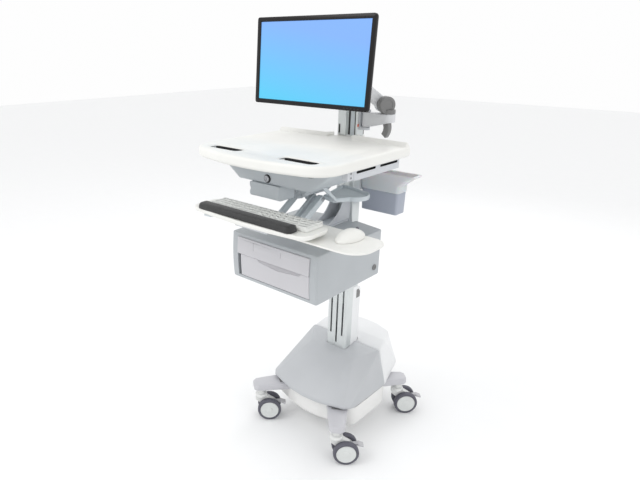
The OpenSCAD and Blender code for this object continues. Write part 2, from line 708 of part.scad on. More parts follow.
module pan_head() {
    color("#8d9094") placed() difference() {
        union() {
            translate([0, pan_y, 1436 + gap]) cylinder(r = 16, h = 52);
            for (x = [-22, 15]) block([x, tilt_y - 8, screen_z - 10], [x + 7, pan_y - 7, screen_z + 10]);
            block([-22, pan_y - 15, screen_z - 10], [22, pan_y - 7, screen_z + 10]);
        }
        translate([0, pan_y, 1430]) cylinder(r = pan_r + running, h = 70);
        rod_x(4 + running, -30, 30, tilt_y, screen_z);
    }
}
module tilt_block() {
    color("#6f7276") placed() {
        rod_x(4, -22, 22, tilt_y, screen_z);
        rod_x(8, -14, 14, tilt_y, screen_z);
        block([-11, -146, screen_z - 6], [11, tilt_y, screen_z + 6]);
        screen_frame() rod_y(13, 38 + gap, 46, 0, 0);
        screen_frame() rod_y(turn_pin_r, 34.5, 40, 0, 0);
    }
}
screen_y = -189;
out_w = screen_w + 2 * bezel;
out_h = screen_h + 2 * bezel;
module screen_frame() translate([0, screen_y, screen_z]) rotate([-screen_tilt, 0, 0]) children();
module screen_plate(w, h, r, y0, y1) rotate([90, 0, 0]) translate([0, 0, -y1])
    linear_extrude(y1 - y0) polygon(round_rect(-w / 2, -h / 2, w / 2, h / 2, r));
module vesa_plate() {
    color("#55585c") placed() screen_frame() difference() {
        screen_plate(115, 115, 10, 34, 38);
        rod_y(turn_pin_r + running, 33, 39, 0, 0);
    }
}
module monitor_housing() {
    color("#2c2d30") placed() screen_frame() difference() {
        union() {
            screen_plate(out_w - 3, out_h - 3, 6, 8, 20);
            screen_plate(out_w - 110, out_h - 90, 14, 20, 34 - gap / 2);
        }
        screen_plate(out_w - 9, out_h - 9, 4, 7, 17);
        for (k = [-6:6]) block([k * 18 - 6, 30, 60], [k * 18 + 6, 35, 64]);
    }
}
module monitor_bezel() {
    color("#1d1e20") placed() screen_frame() difference() {
        screen_plate(out_w, out_h, 8, -2, 8);
        screen_plate(screen_w, screen_h, 1, -3, 9);
        screen_plate(out_w - 8, out_h - 8, 3, 2, 9);
    }
}
module screen_panel() {
    color("#8cc8ff") placed() screen_frame() screen_plate(out_w - 10, out_h - 10, 2, 2 + gap, 8);
}

// ---------- casters ----------
trail = 36;
trail_angle = 43;
wheel_r = wheel_d / 2;
wheel_in = 15;
wheel_out = 38;
axle_r = 5;
pedal_x = 62;
pedal_z = 70;
pedal_pin = 3;
module at_caster(i) translate([STEMS[i][0], STEMS[i][1], 0]) rotate([0, 0, trail_angle]) children();
// A side outline in the caster's own X and Z, extruded across it from y0 to y1.
module caster_slab(points, y0, y1)
    translate([0, y1, 0]) rotate([90, 0, 0]) linear_extrude(y1 - y0) polygon(points);
fork_side = concat([[-24, 116], [-24, 84]], arc(trail, wheel_r, 17, 200, 320, 8),
    [[pedal_x + 3, 62], [pedal_x + 6, 70], [pedal_x - 6, 80], [24, 100], [24, 116]]);
module caster_fork(i) {
    color("#dfe1e1") placed() at_caster(i) difference() {
        union() {
            caster_slab(fork_side, -13, 13);
            translate([0, 0, wheel_d + 1]) cylinder(r = 24, h = 16);
            translate([0, 0, 116]) cylinder(r = 13, h = leg_z - 116 - gap);
            translate([0, 0, 110]) cylinder(r = stem_r, h = leg_z + 22 - 110);
        }
        caster_slab([[pedal_x - 10, 60], [pedal_x - 10, 90], [pedal_x + 20, 90], [pedal_x + 20, 55]],
            -8.3, 8.3);
        rod_y(axle_r + running, -20, 20, trail, wheel_r);
        rod_y(pedal_pin + running, -20, 20, pedal_x, pedal_z);
    }
}
module caster_wheel(i) {
    color("#63636c") placed() at_caster(i) {
        for (s = [0, 1]) mirror([0, s, 0]) translate([trail, 0, wheel_r]) rotate([-90, 0, 0]) difference() {
            rotate_extrude() polygon(concat([[0, wheel_in], [wheel_r - 4, wheel_in], [wheel_r, wheel_in + 5],
                [wheel_r, wheel_out - 7], [wheel_r - 5, wheel_out - 1.5], [wheel_r - 9, wheel_out],
                [wheel_r - 11, wheel_out - 1], [0, wheel_out - 1]]), $fn = 64);
            translate([0, 0, wheel_in - 1]) cylinder(r = wheel_r - 14, h = 5);
        }
        rod_y(axle_r, -wheel_out + 4, wheel_out - 4, trail, wheel_r);
    }
}
module caster_pedal(i) {
    color("#bbbcc0") placed() at_caster(i) {
        rod_y(7, -8, 8, pedal_x, pedal_z);
        rod_y(pedal_pin, -12, 12, pedal_x, pedal_z);
        caster_slab([[pedal_x, pedal_z + 7], [pedal_x + 22, pedal_z + 8], [pedal_x + 44, pedal_z],
            [pedal_x + 43, pedal_z - 5], [pedal_x + 20, pedal_z + 1], [pedal_x, pedal_z - 3]], -8, 8);
        caster_slab([[pedal_x + 20, pedal_z + 8], [pedal_x + 44, pedal_z], [pedal_x + 43, pedal_z - 5],
            [pedal_x + 26, pedal_z]], -13, 13);
    }
}

base_frame();
lower_pan();
base_cover();
battery_cover();
battery_pack();
column_extrusion();
column_cover();
column_glides();
lift_strut();
riser();
strut_rod();
lift_bracket();
mast();
mast_collar();
work_surface();
work_tub();
handle_inserts();
console_box();
arm_housing();
side_rails();
cable_scoop();
surface_lock();
cabinet_shell();
cabinet_runners();
cabinet_lock();
drawer_tray();
drawer_front();
drawer_header();
tray_arm();
tray_head();
keyboard_tray();
palm_rest();
keyboard();
mouse_tray();
mouse();
bin_body();
bin_rim();
arm_link();
cable_hook();
elbow();
upper_arm();
arm_head();
pan_head();
tilt_block();
vesa_plate();
monitor_housing();
monitor_bezel();
screen_panel();
caster_fork(0);  // fork_front_left
caster_fork(1);  // fork_front_right
caster_fork(2);  // fork_rear_left
caster_fork(3);  // fork_rear_right
caster_wheel(0);  // wheel_front_left
caster_wheel(1);  // wheel_front_right
caster_wheel(2);  // wheel_rear_left
caster_wheel(3);  // wheel_rear_right
caster_pedal(0);  // pedal_front_left
caster_pedal(1);  // pedal_front_right
caster_pedal(2);  // pedal_rear_left
caster_pedal(3);  // pedal_rear_right
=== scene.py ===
"""Medication cart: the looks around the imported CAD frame."""
import json
from math import acos, atan2, copysign, cos, degrees, hypot, pi, radians, sin, sqrt, tan, tau

import bmesh
import bpy
from mathutils import Matrix, Vector
from mathutils.noise import noise

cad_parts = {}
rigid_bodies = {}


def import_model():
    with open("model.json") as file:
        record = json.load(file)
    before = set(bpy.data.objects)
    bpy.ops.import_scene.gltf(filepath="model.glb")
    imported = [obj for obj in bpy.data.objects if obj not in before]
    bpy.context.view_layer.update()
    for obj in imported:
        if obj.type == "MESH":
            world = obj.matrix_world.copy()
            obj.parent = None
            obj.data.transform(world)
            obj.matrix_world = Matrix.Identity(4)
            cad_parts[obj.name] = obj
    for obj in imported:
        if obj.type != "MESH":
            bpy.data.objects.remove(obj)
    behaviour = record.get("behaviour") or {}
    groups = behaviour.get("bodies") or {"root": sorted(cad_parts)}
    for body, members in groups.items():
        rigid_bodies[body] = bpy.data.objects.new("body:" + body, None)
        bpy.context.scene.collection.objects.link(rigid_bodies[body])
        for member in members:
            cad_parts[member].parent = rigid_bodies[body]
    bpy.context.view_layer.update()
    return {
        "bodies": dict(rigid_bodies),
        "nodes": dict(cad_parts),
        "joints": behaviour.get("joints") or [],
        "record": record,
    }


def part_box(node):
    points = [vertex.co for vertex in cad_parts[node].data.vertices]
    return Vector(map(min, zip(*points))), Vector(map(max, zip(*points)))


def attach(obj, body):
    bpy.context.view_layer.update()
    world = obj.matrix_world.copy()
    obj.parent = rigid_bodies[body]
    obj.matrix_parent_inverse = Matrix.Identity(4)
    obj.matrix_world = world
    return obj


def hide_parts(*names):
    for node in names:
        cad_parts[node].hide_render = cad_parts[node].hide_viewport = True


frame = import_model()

NODES = frame["nodes"]
RECORD = frame["record"]
SLOT_OF = {s["node"]: s["material_slot"] for s in RECORD["subparts"]}
BODY_OF = {n: b for b, nodes in RECORD["behaviour"]["bodies"].items() for n in nodes}

# The cart is measured in millimetres from its centre plane and from a line 33 mm in front of the column.
MM = 0.001
COLUMN_FRONT = 33
surface_lo, surface_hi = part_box("work_surface")
CENTRE_X = (surface_lo.x + surface_hi.x) / 2
COLUMN_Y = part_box("column_extrusion")[0].y
SURFACE_TOP = 1200
SMOOTH_ANGLE = radians(32)
move = Matrix.Translation


def at(x, y, z):
    """A place on the cart, in metres in the frame."""
    return Vector((CENTRE_X + x * MM, COLUMN_Y + (y - COLUMN_FRONT) * MM, z * MM))


def add_object(name, data):
    thing = bpy.data.objects.new(name, data)
    bpy.context.scene.collection.objects.link(thing)
    return thing


# ---- camera, light and floor
CAMERA_AT = (1167, -1639, 1518)
CAMERA_YAW = 0.7458
CAMERA_PITCH = 0.367
CAMERA_LENS = 30.594
CAMERA_SHIFT = (0.0775, 0.0197)


def make_camera():
    data = bpy.data.cameras.new("camera")
    camera = add_object("camera", data)
    data.lens, data.sensor_width = CAMERA_LENS, 36
    data.shift_x, data.shift_y = CAMERA_SHIFT
    data.clip_start, data.clip_end = 0.05, 60
    level_run = cos(CAMERA_PITCH)
    right = Vector((cos(CAMERA_YAW), sin(CAMERA_YAW), 0))
    ahead = Vector((-right.y * level_run, right.x * level_run, -sin(CAMERA_PITCH)))
    up = right.cross(ahead)
    turn = Matrix((right, up, -ahead)).transposed().to_4x4()
    camera.matrix_world = move(at(*CAMERA_AT)) @ turn
    bpy.context.scene.camera = camera


def area_light(name, place, target, size, power):
    data = bpy.data.lights.new(name, "AREA")
    data.shape, data.size, data.energy = "DISK", size, power
    lamp = add_object(name, data)
    lamp.location = place
    lamp.rotation_euler = (Vector(target) - Vector(place)).to_track_quat("-Z", "Y").to_euler()


def make_studio():
    world = bpy.data.worlds.new("studio")
    bpy.context.scene.world = world
    world.use_nodes = True
    background = world.node_tree.nodes["Background"]
    background.inputs["Color"].default_value = (1, 1, 1, 1)
    background.inputs["Strength"].default_value = 0.99
    bpy.context.scene.view_settings.view_transform = "Standard"
    area_light("key", (-1.4, -2.8, 3.6), (0, 0, 0.9), 2.4, 34)
    area_light("fill", (3.2, -0.6, 2.4), (0, 0, 0.8), 2.4, 8)
    area_light("back", (-0.6, 3.0, 2.8), (0, 0, 1.0), 2.4, 16)
    mesh = bpy.data.meshes.new("floor")
    reach = 14
    corners = [(-reach, -reach, 0), (reach, -reach, 0), (reach, reach, 0), (-reach, reach, 0)]
    mesh.from_pydata(corners, [], [(0, 1, 2, 3)])
    floor = add_object("floor", mesh)
    mesh.materials.append(MATERIALS["floor"])


# ---- materials
def new_material(name):
    made = bpy.data.materials.new(name)
    made.use_nodes = True
    tree = made.node_tree
    return made, tree, tree.nodes["Principled BSDF"]


def link(tree, a, b):
    tree.links.new(a, b)


def set_inputs(node, values):
    for name, value in values.items():
        node.inputs[name].default_value = value


def add_node(tree, kind, values=None):
    """A shader node with some of its inputs set."""
    node = tree.nodes.new("ShaderNode" + kind)
    set_inputs(node, values or {})
    return node


def noise_node(tree, scale, octaves, stretch=(1, 1, 1)):
    """Noise over the object's own coordinates, which stay with the piece as it moves."""
    place = add_node(tree, "TexCoord")
    mapping = add_node(tree, "Mapping", {"Scale": stretch})
    texture = add_node(tree, "TexNoise", {"Scale": scale, "Detail": octaves})
    link(tree, place.outputs["Object"], mapping.inputs["Vector"])
    link(tree, mapping.outputs["Vector"], texture.inputs["Vector"])
    return texture.outputs["Fac"]


def tint(color, factor):
    return tuple(min(1, c * factor) for c in color[:3]) + (1,)


def add_ramp(tree, start, end, first, last):
    """A colour ramp between two places."""
    ramp = add_node(tree, "ValToRGB")
    for stop, place, color in zip(ramp.color_ramp.elements, (start, end), (first, last)):
        stop.position, stop.color = place, color
    return ramp


def add_variation(tree, shader, color, spread, scale):
    """Faint clouding of the colour, and edges that are rubbed a little lighter."""
    ramp = add_ramp(tree, 0.3, 0.7, tint(color, 1 - spread), tint(color, 1 + spread))
    link(tree, noise_node(tree, scale, 4), ramp.inputs["Fac"])
    geometry = add_node(tree, "NewGeometry")
    edge = add_node(tree, "MapRange", {"From Min": 0.53, "From Max": 0.62, "To Max": 0.35})
    mix = add_node(tree, "Mix")
    mix.data_type = "RGBA"
    mix.inputs["B"].default_value = tint(color, 1.12)
    link(tree, geometry.outputs["Pointiness"], edge.inputs["Value"])
    link(tree, edge.outputs["Result"], mix.inputs["Factor"])
    link(tree, ramp.outputs["Color"], mix.inputs["A"])
    link(tree, mix.outputs["Result"], shader.inputs["Base Color"])


def add_bump(tree, shader, height, strength, distance):
    bump = add_node(tree, "Bump", {"Strength": strength, "Distance": distance})
    link(tree, height, bump.inputs["Height"])
    link(tree, bump.outputs["Normal"], shader.inputs["Normal"])


def add_grain(tree, shader, scale, strength, distance, stretch=(1, 1, 1)):
    add_bump(tree, shader, noise_node(tree, scale, 2, stretch), strength, distance)


def add_roughness(tree, shader, low, high, scale, stretch=(1, 1, 1)):
    spread = add_node(tree, "MapRange", {"From Min": 0.3, "From Max": 0.7, "To Min": low, "To Max": high})
    link(tree, noise_node(tree, scale, 4, stretch), spread.inputs["Value"])
    link(tree, spread.outputs["Result"], shader.inputs["Roughness"])


def finish(name, color, clouds, rough, grain, inputs, stretch=(1, 1, 1)):
    """Clouds are (spread, scale), rough is (low, high, scale) and grain is (scale, strength, distance)."""
    made, tree, shader = new_material(name)
    add_variation(tree, shader, color, *clouds)
    add_roughness(tree, shader, *rough, stretch)
    add_grain(tree, shader, *grain, stretch)
    set_inputs(shader, inputs)
    return made


def plastic(name, color, roughness=0.42, grain=0.12, spread=0.02, gloss=0.45):
    """Moulded plastic: fine spark-eroded grain, faint clouding and uneven gloss from handling."""
    return finish(name, color, (spread, 9), (roughness - 0.05, roughness + 0.08, 14), (1400, grain, 0.0004),
        {"Specular IOR Level": gloss})


def metal(name, color, roughness=0.35, stretch=(1, 1, 0.02), metallic=0.9):
    """Brushed or drawn metal: streaks along one direction."""
    return finish(name, color, (0.03, 20), (roughness - 0.06, roughness + 0.08, 420), (900, 0.10, 0.0003),
        {"Metallic": metallic}, stretch)


def paint(name, color, roughness=0.38):
    """Powder coat: a fine orange peel under a satin skin."""
    return finish(name, color, (0.015, 12), (roughness - 0.04, roughness + 0.07, 16), (520, 0.16, 0.0006),
        {"Coat Weight": 0.15, "Coat Roughness": 0.3})


def leather(name, color):
    """Grained skin over foam: cells of the grain with finer creases between them."""
    made, tree, shader = new_material(name)
    add_variation(tree, shader, color, 0.14, 60)
    add_roughness(tree, shader, 0.5, 0.68, 160)
    place = add_node(tree, "TexCoord")
    cells = add_node(tree, "TexVoronoi", {"Scale": 620})
    link(tree, place.outputs["Object"], cells.inputs["Vector"])
    add_bump(tree, shader, cells.outputs["Distance"], 0.45, 0.0008)
    shader.inputs["Sheen Weight"].default_value = 0.15
    return made


def rubber(name, color):
    return finish(name, color, (0.10, 45), (0.55, 0.75, 90), (700, 0.25, 0.0006), {})


def frosted(name, color):
    """Frosted plastic that lets some light through."""
    return finish(name, color, (0.02, 14), (0.32, 0.46, 40), (900, 0.12, 0.0004),
        {"Transmission Weight": 0.25, "Subsurface Weight": 0.2, "Subsurface Scale": 0.01})


SCREEN_TOP = (0.22, 0.46, 1.0)
SCREEN_FOOT = (0.085, 0.63, 0.95)


def lit_screen(name):
    """A lit panel behind a satin film, violet-blue at the top right and cyan at the foot."""
    made, tree, shader = new_material(name)
    lo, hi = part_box("screen_panel")
    place = add_node(tree, "TexCoord")
    split = add_node(tree, "SeparateXYZ")
    link(tree, place.outputs["Object"], split.inputs["Vector"])
    shares = []
    for axis, low, high in (("X", lo.x, hi.x), ("Z", lo.z, hi.z)):
        share = add_node(tree, "MapRange", {"From Min": low, "From Max": high})
        link(tree, split.outputs[axis], share.inputs["Value"])
        shares.append(share.outputs["Result"])
    slant = add_node(tree, "Math")
    slant.operation = "MULTIPLY_ADD"
    slant.inputs[1].default_value = 0.3
    link(tree, shares[0], slant.inputs[0])
    link(tree, shares[1], slant.inputs[2])
    ramp = add_ramp(tree, 0.12, 1.15, SCREEN_FOOT + (1,), SCREEN_TOP + (1,))
    link(tree, slant.outputs["Value"], ramp.inputs["Fac"])
    link(tree, ramp.outputs["Color"], shader.inputs["Emission Color"])
    set_inputs(shader, {"Emission Strength": 0.93, "Base Color": (0.02, 0.03, 0.05, 1)})
    add_roughness(tree, shader, 0.28, 0.34, 60)
    add_grain(tree, shader, 1600, 0.04, 0.0002)
    return made


COLOURS = {
    "base_paint": (0.53, 0.53, 0.56),
    "pan_white": (0.79, 0.79, 0.78),
    "cover_grey": (0.50, 0.515, 0.535),
    "cover_white": (0.80, 0.81, 0.82),
    "battery_dark": (0.03, 0.032, 0.036),
    "column_metal": (0.66, 0.69, 0.69),
    "glide_black": (0.02, 0.02, 0.022),
    "steel": (0.42, 0.43, 0.45),
    "bracket_grey": (0.58, 0.60, 0.63),
    "surface_white": (0.82, 0.82, 0.79),
    "tub_grey": (0.53, 0.57, 0.60),
    "dark_plastic": (0.012, 0.012, 0.013),
    "cabinet_grey": (0.44, 0.465, 0.485),
    "drawer_grey": (0.555, 0.55, 0.575),
    "drawer_inner": (0.66, 0.67, 0.69),
    "arm_blue_grey": (0.56, 0.61, 0.64),
    "palm_black": (0.022, 0.022, 0.023),
    "keyboard_plastic": (0.74, 0.75, 0.73),
    "mouse_plastic": (0.82, 0.82, 0.79),
    "bin_blue": (0.37, 0.40, 0.47),
    "rim_clear": (0.79, 0.81, 0.83),
    "arm_light": (0.66, 0.67, 0.69),
    "arm_dark": (0.20, 0.20, 0.20),
    "monitor_black": (0.009, 0.008, 0.009),
    "fork_white": (0.72, 0.73, 0.72),
    "wheel_grey": (0.10, 0.10, 0.125),
    "pedal_grey": (0.50, 0.50, 0.52),
}
METALS = {"column_metal": (0.34, (1, 1, 0.02), 0.55), "steel": (0.3, (1, 1, 1), 0.95)}
PAINTS = ("base_paint", "bracket_grey", "arm_blue_grey", "arm_light")


def make_materials():
    made = {}
    for slot, color in COLOURS.items():
        if slot in METALS:
            roughness, stretch, metallic = METALS[slot]
            made[slot] = metal(slot, color, roughness, stretch, metallic)
        elif slot in PAINTS:
            made[slot] = paint(slot, color)
        else:
            made[slot] = plastic(slot, color)
    made["palm_black"] = leather("palm_skin", COLOURS["palm_black"])
    made["wheel_grey"] = rubber("tread", COLOURS["wheel_grey"])
    made["rim_clear"] = frosted("frosted_collar", COLOURS["rim_clear"])
    made["monitor_black"] = plastic("polished_black", COLOURS["monitor_black"], 0.2, 0.02, 0.1, 0.28)
    made["screen_blue"] = lit_screen("lit_panel")
    made["hub_cap"] = plastic("hub_cap", (0.66, 0.68, 0.67), 0.36)
    made["label_red"] = plastic("label_red", (0.62, 0.08, 0.02), 0.5)
    made["floor"] = plastic("studio_floor", (0.925, 0.93, 0.935), 0.7, 0.02, 0.004, 0.1)
    return made


MATERIALS = make_materials()
make_camera()
make_studio()

# ---- shapes, in millimetres
SIDE = Matrix(((0, 0, 1, 0), (1, 0, 0, 0), (0, 1, 0, 0), (0, 0, 0, 1)))
FRONT = Matrix(((1, 0, 0, 0), (0, 0, 1, 0), (0, 1, 0, 0), (0, 0, 0, 1)))
FORWARD = Matrix.Rotation(pi / 2, 4, "X")


def fillet(corners, steps=5):
    """An outline whose corners, given as (x, y, radius), are rounded."""
    points = []
    for back, here, fore in zip(corners[-1:] + corners[:-1], corners, corners[1:] + corners[:1]):
        corner, radius = Vector(here[:2]), here[2]
        to_back, to_fore = Vector(back[:2]) - corner, Vector(fore[:2]) - corner
        b, f = to_back.normalized(), to_fore.normalized()
        half = acos(max(-1, min(1, b.dot(f)))) / 2
        reach = min(radius / tan(half), 0.49 * to_back.length, 0.49 * to_fore.length) if half < 1.56 else 0
        if reach < 0.05:
            points.append(tuple(corner))
            continue
        centre = corner + (b + f).normalized() * (reach / cos(half))
        arm, last = corner + b * reach - centre, corner + f * reach - centre
        sweep = atan2(arm.x * last.y - arm.y * last.x, arm.dot(last))
        for i in range(steps + 1):
            points.append(tuple(centre + Matrix.Rotation(sweep * i / steps, 2) @ arm))
    return points


def round_rect(x0, y0, x1, y1, radius, steps=5):
    return fillet([(x1, y1, radius), (x0, y1, radius), (x0, y0, radius), (x1, y0, radius)], steps)


def symmetric(half):
    """A whole outline from the corners of its right half."""
    return half + [(-c[0],) + tuple(c[1:]) for c in reversed(half) if abs(c[0]) > 0.01]


def inset(outline, distance):
    """The outline moved inwards by a distance."""
    if not distance:
        return list(outline)
    points = [Vector(p[:2]) for p in outline]
    area = sum(a.x * b.y - b.x * a.y for a, b in zip(points, points[1:] + points[:1]))
    side = 1 if area > 0 else -1
    moved = []
    for before, here, after in zip(points[-1:] + points[:-1], points, points[1:] + points[:1]):
        one, two = (here - before).normalized(), (after - here).normalized()
        first, second = Vector((-one.y, one.x)) * side, Vector((-two.y, two.x)) * side
        middle = (first + second).normalized()
        moved.append(tuple(here + middle * (distance / max(0.5, middle.dot(first)))))
    return moved


def level(outline, height):
    return [(p[0], p[1], height) for p in outline]


def quarter(steps):
    return [radians(90 * i / steps) for i in range(steps + 1)]


def edge_profile(z0, z1, low, high, steps=4):
    """Inset and height pairs for a plate whose lower and upper edges are rounded by low and high."""
    lower = [(low * (1 - sin(q)), z0 + low * (1 - cos(q)))
        for q in quarter(steps)] if low else [(0, z0)]
    upper = [(high * (1 - cos(q)), z1 - high * (1 - sin(q)))
        for q in quarter(steps)] if high else [(0, z1)]
    return lower + upper


def loft(rings, closed=False):
    """A skin through rings of equal length, closed by faces at both ends or joined end to start."""
    shape = bmesh.new()
    rows = [[shape.verts.new(p) for p in ring] for ring in rings]
    size = len(rows[0])
    for row, after in zip(rows, rows[1:] + ([rows[0]] if closed else [])):
        for i in range(size):
            j = (i + 1) % size
            shape.faces.new((row[i], row[j], after[j], after[i]))
    if not closed:
        shape.faces.new(rows[0])
        shape.faces.new(rows[-1])
    return tidy(shape)


def tidy(shape):
    bmesh.ops.remove_doubles(shape, verts=shape.verts, dist=0.01)
    bmesh.ops.recalc_face_normals(shape, faces=shape.faces)
    return shape


def skin(outline, profile):
    """A skin over an outline that is moved inwards and raised as the profile's (inset, height) pairs say."""
    return loft([level(inset(outline, d), z) for d, z in profile])


def plate(outline, z0, z1, low=1, high=1, steps=4):
    """An outline given thickness, with its edges rounded."""
    return skin(outline, edge_profile(z0, z1, low, high, steps))


def cup(outline, z0, z1, wall, floor, lip=1, low=2):
    """An open vessel: outer wall, rounded lip, inner wall and floor."""
    outer = edge_profile(z0, z1 - lip, low, 0)
    rim = [(lip * (1 - cos(q)), z1 - lip * (1 - sin(q))) for q in quarter(3)]
    inner = [(wall - d, z) for d, z in reversed(rim)]
    foot = [(wall, z0 + floor + low), (wall + low, z0 + floor)]
    return skin(outline, outer + rim[1:] + inner + foot)


def hull(balls, steps=6):
    """The skin stretched over balls, each given as (x, y, z, radius)."""
    shape = bmesh.new()
    for x, y, z, radius in balls:
        centre = Vector((x, y, z))
        for i in range(steps + 1):
            rise = pi * i / steps
            around = 1 if i in (0, steps) else 2 * steps
            for j in range(around):
                turn = tau * j / around
                ray = Vector((sin(rise) * cos(turn), sin(rise) * sin(turn), cos(rise)))
                shape.verts.new(centre + ray * radius)
    found = bmesh.ops.convex_hull(shape, input=shape.verts)
    spare = {v for v in found["geom_interior"] + found["geom_unused"] if isinstance(v, bmesh.types.BMVert)}
    bmesh.ops.delete(shape, geom=list(spare), context="VERTS")
    bmesh.ops.remove_doubles(shape, verts=shape.verts, dist=0.01)
    bmesh.ops.dissolve_limit(shape, angle_limit=radians(0.3), verts=shape.verts, edges=shape.edges)
    return tidy(shape)


def mirrored_balls(balls):
    return balls + [(-x, y, z, r) for x, y, z, r in balls]


def lathe(profile, steps=56):
    """A profile of (radius, height) pairs turned about Z."""
    shape = bmesh.new()
    rows = []
    for radius, height in profile:
        count = steps if radius > 0.01 else 1
        turns = [tau * i / count for i in range(count)]
        rows.append([shape.verts.new((radius * cos(t), radius * sin(t), height)) for t in turns])
    for row, after in zip(rows, rows[1:]):
        for i in range(steps):
            j = (i + 1) % steps
            corners = [row[i % len(row)], row[j % len(row)], after[j % len(after)], after[i % len(after)]]
            unique = list(dict.fromkeys(corners))
            if len(unique) > 2:
                shape.faces.new(unique)
    for row in (rows[0], rows[-1]):
        if len(row) > 1:
            shape.faces.new(row)
    return tidy(shape)


def along(axis, place):
    """Turns a lathe's Z to an axis and moves it to a place."""
    turn = {"X": Matrix.Rotation(pi / 2, 4, "Y"), "Y": Matrix.Rotation(-pi / 2, 4, "X"),
        "Z": Matrix.Identity(4)}
    return move(place) @ turn[axis]


def rod(radius, length, steps=32):
    """A plain cylinder, for cutting bores."""
    return lathe([(0, 0), (radius, 0), (radius, length), (0, length)], steps)


def drum(radius, length, edge=1.0, steps=48):
    """A turned pin or disc with rounded edges, standing on its lower end."""
    low = [(radius - edge * (1 - sin(q)), edge * (1 - cos(q))) for q in quarter(3)]
    high = [(radius - edge * (1 - cos(q)), length - edge * (1 - sin(q))) for q in quarter(3)]
    return lathe([(0, 0)] + low + high + [(0, length)], steps)


def placed(shape, frame):
    shape.transform(frame)
    return tidy(shape)


def slab(outline, low, high, edge, frame):
    """A plate stood on edge by a frame."""
    return placed(plate(outline, low, high, edge, edge), frame)


def joined(*shapes):
    whole = bmesh.new()
    for shape in shapes:
        mesh = bpy.data.meshes.new("part")
        shape.to_mesh(mesh)
        shape.free()
        whole.from_mesh(mesh)
        bpy.data.meshes.remove(mesh)
    return whole


def temporary(shape):
    mesh = bpy.data.meshes.new("work")
    shape.to_mesh(mesh)
    shape.free()
    return add_object("work", mesh)


def combined(base, tools, operation="DIFFERENCE"):
    """One shape cut by others, or united with them."""
    thing = temporary(base)
    helpers = [temporary(tool) for tool in tools]
    for helper in helpers:
        step = thing.modifiers.new("carve", "BOOLEAN")
        step.object, step.operation, step.solver = helper, operation, "EXACT"
    bpy.context.view_layer.update()
    result = thing.evaluated_get(bpy.context.evaluated_depsgraph_get())
    shape = bmesh.new()
    shape.from_mesh(result.to_mesh())
    result.to_mesh_clear()
    for spare in [thing] + helpers:
        mesh = spare.data
        bpy.data.objects.remove(spare)
        bpy.data.meshes.remove(mesh)
    bmesh.ops.remove_doubles(shape, verts=shape.verts, dist=0.01)
    bmesh.ops.dissolve_degenerate(shape, edges=shape.edges, dist=0.01)
    return tidy(shape)


def box(x0, y0, z0, x1, y1, z1, radius=0.0):
    """A block for cutting, or with rounded edges for showing."""
    if not radius:
        return loft([[(x0, y0, z), (x1, y0, z), (x1, y1, z), (x0, y1, z)] for z in (z0, z1)])
    balls = [(x, y, z, radius) for x in (x0 + radius, x1 - radius) for y in (y0 + radius, y1 - radius)
        for z in (z0 + radius, z1 - radius)]
    return hull(balls, 4)


def soften(thing, width):
    """Rounds the sharp edges of a thing by a width in millimetres."""
    bevel = thing.modifiers.new("edge", "BEVEL")
    bevel.width, bevel.segments, bevel.limit_method = width * MM, 3, "ANGLE"
    bevel.angle_limit = radians(38)
    bevel.harden_normals = True


def piece(name, node, shape, frame=None, edge=0.0, material=None, slot=None, adds=False,
        smooth=SMOOTH_ANGLE):
    """Puts a shape on the cart as a piece that stands for a CAD node, or adds to it."""
    if frame is not None:
        shape.transform(frame)
    for vertex in shape.verts:
        vertex.co = at(*vertex.co)
    bmesh.ops.recalc_face_normals(shape, faces=shape.faces)
    mesh = bpy.data.meshes.new(name)
    shape.to_mesh(mesh)
    shape.free()
    mesh.shade_smooth()
    mesh.set_sharp_from_angle(angle=smooth)
    thing = add_object(name, mesh)
    if edge:
        soften(thing, edge)
    mesh.materials.append(MATERIALS[material or slot or SLOT_OF[node]])
    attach(thing, BODY_OF[node])
    if not adds:
        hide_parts(node)
    return thing


def detail(name, node, shape, slot=None, frame=None, material=None):
    """A piece that adds to the one that stands for a CAD node."""
    return piece(name, node, shape, frame, slot=slot, material=material, adds=True)


def part(node, shape, frame=None, **looks):
    """The piece that stands for a CAD node."""
    return piece("shape." + node, node, shape, frame, **looks)


# ---- base and casters
STEMS = {"front_left": (-200, -218), "front_right": (200, -218), "rear_left": (-207, 218),
    "rear_right": (207, 218)}
ROOTS = {"front_left": (-118, -104), "front_right": (118, -104), "rear_left": (-112, 112),
    "rear_right": (112, 112)}
LEG_LOW, LEG_TOP = 144, 172
LEG_ROOT_HALF, LEG_END_HALF = 44, 33
COVER_LOW = 175
LEG_COVERED = (52, 60)
# Length and width of the dark strips that are painted shade for the shadowed recesses on the legs' tops.
SHADE_STRIP = (9, 46)


def leg_axes(corner):
    """A leg's root, the direction it runs in and the direction across it."""
    root, stem = Vector(ROOTS[corner]), Vector(STEMS[corner])
    run = (stem - root).normalized()
    return root, run, Vector((-run.y, run.x))


def leg_shape(corner):
    """A tapered leg with soft top edges and a squared end over its caster."""
    root, run, side = leg_axes(corner)
    stem = Vector(STEMS[corner])
    balls = []
    for height, radius in ((LEG_LOW + 4, 4), (LEG_TOP - 6, 6)):
        for sign in (-1, 1):
            place = root + side * sign * (LEG_ROOT_HALF - radius)
            balls.append((place.x, place.y, height, radius))
            for ahead, half in ((2, LEG_END_HALF), (22, LEG_END_HALF - 3), (32, LEG_END_HALF - 13)):
                place = stem + run * (ahead - radius) + side * sign * (half - radius)
                balls.append((place.x, place.y, height, radius))
    return hull(balls)


def cover_edge(run):
    """How far along a leg the edge of the covers crosses it."""
    return LEG_COVERED[0] if run.y < 0 else LEG_COVERED[1]


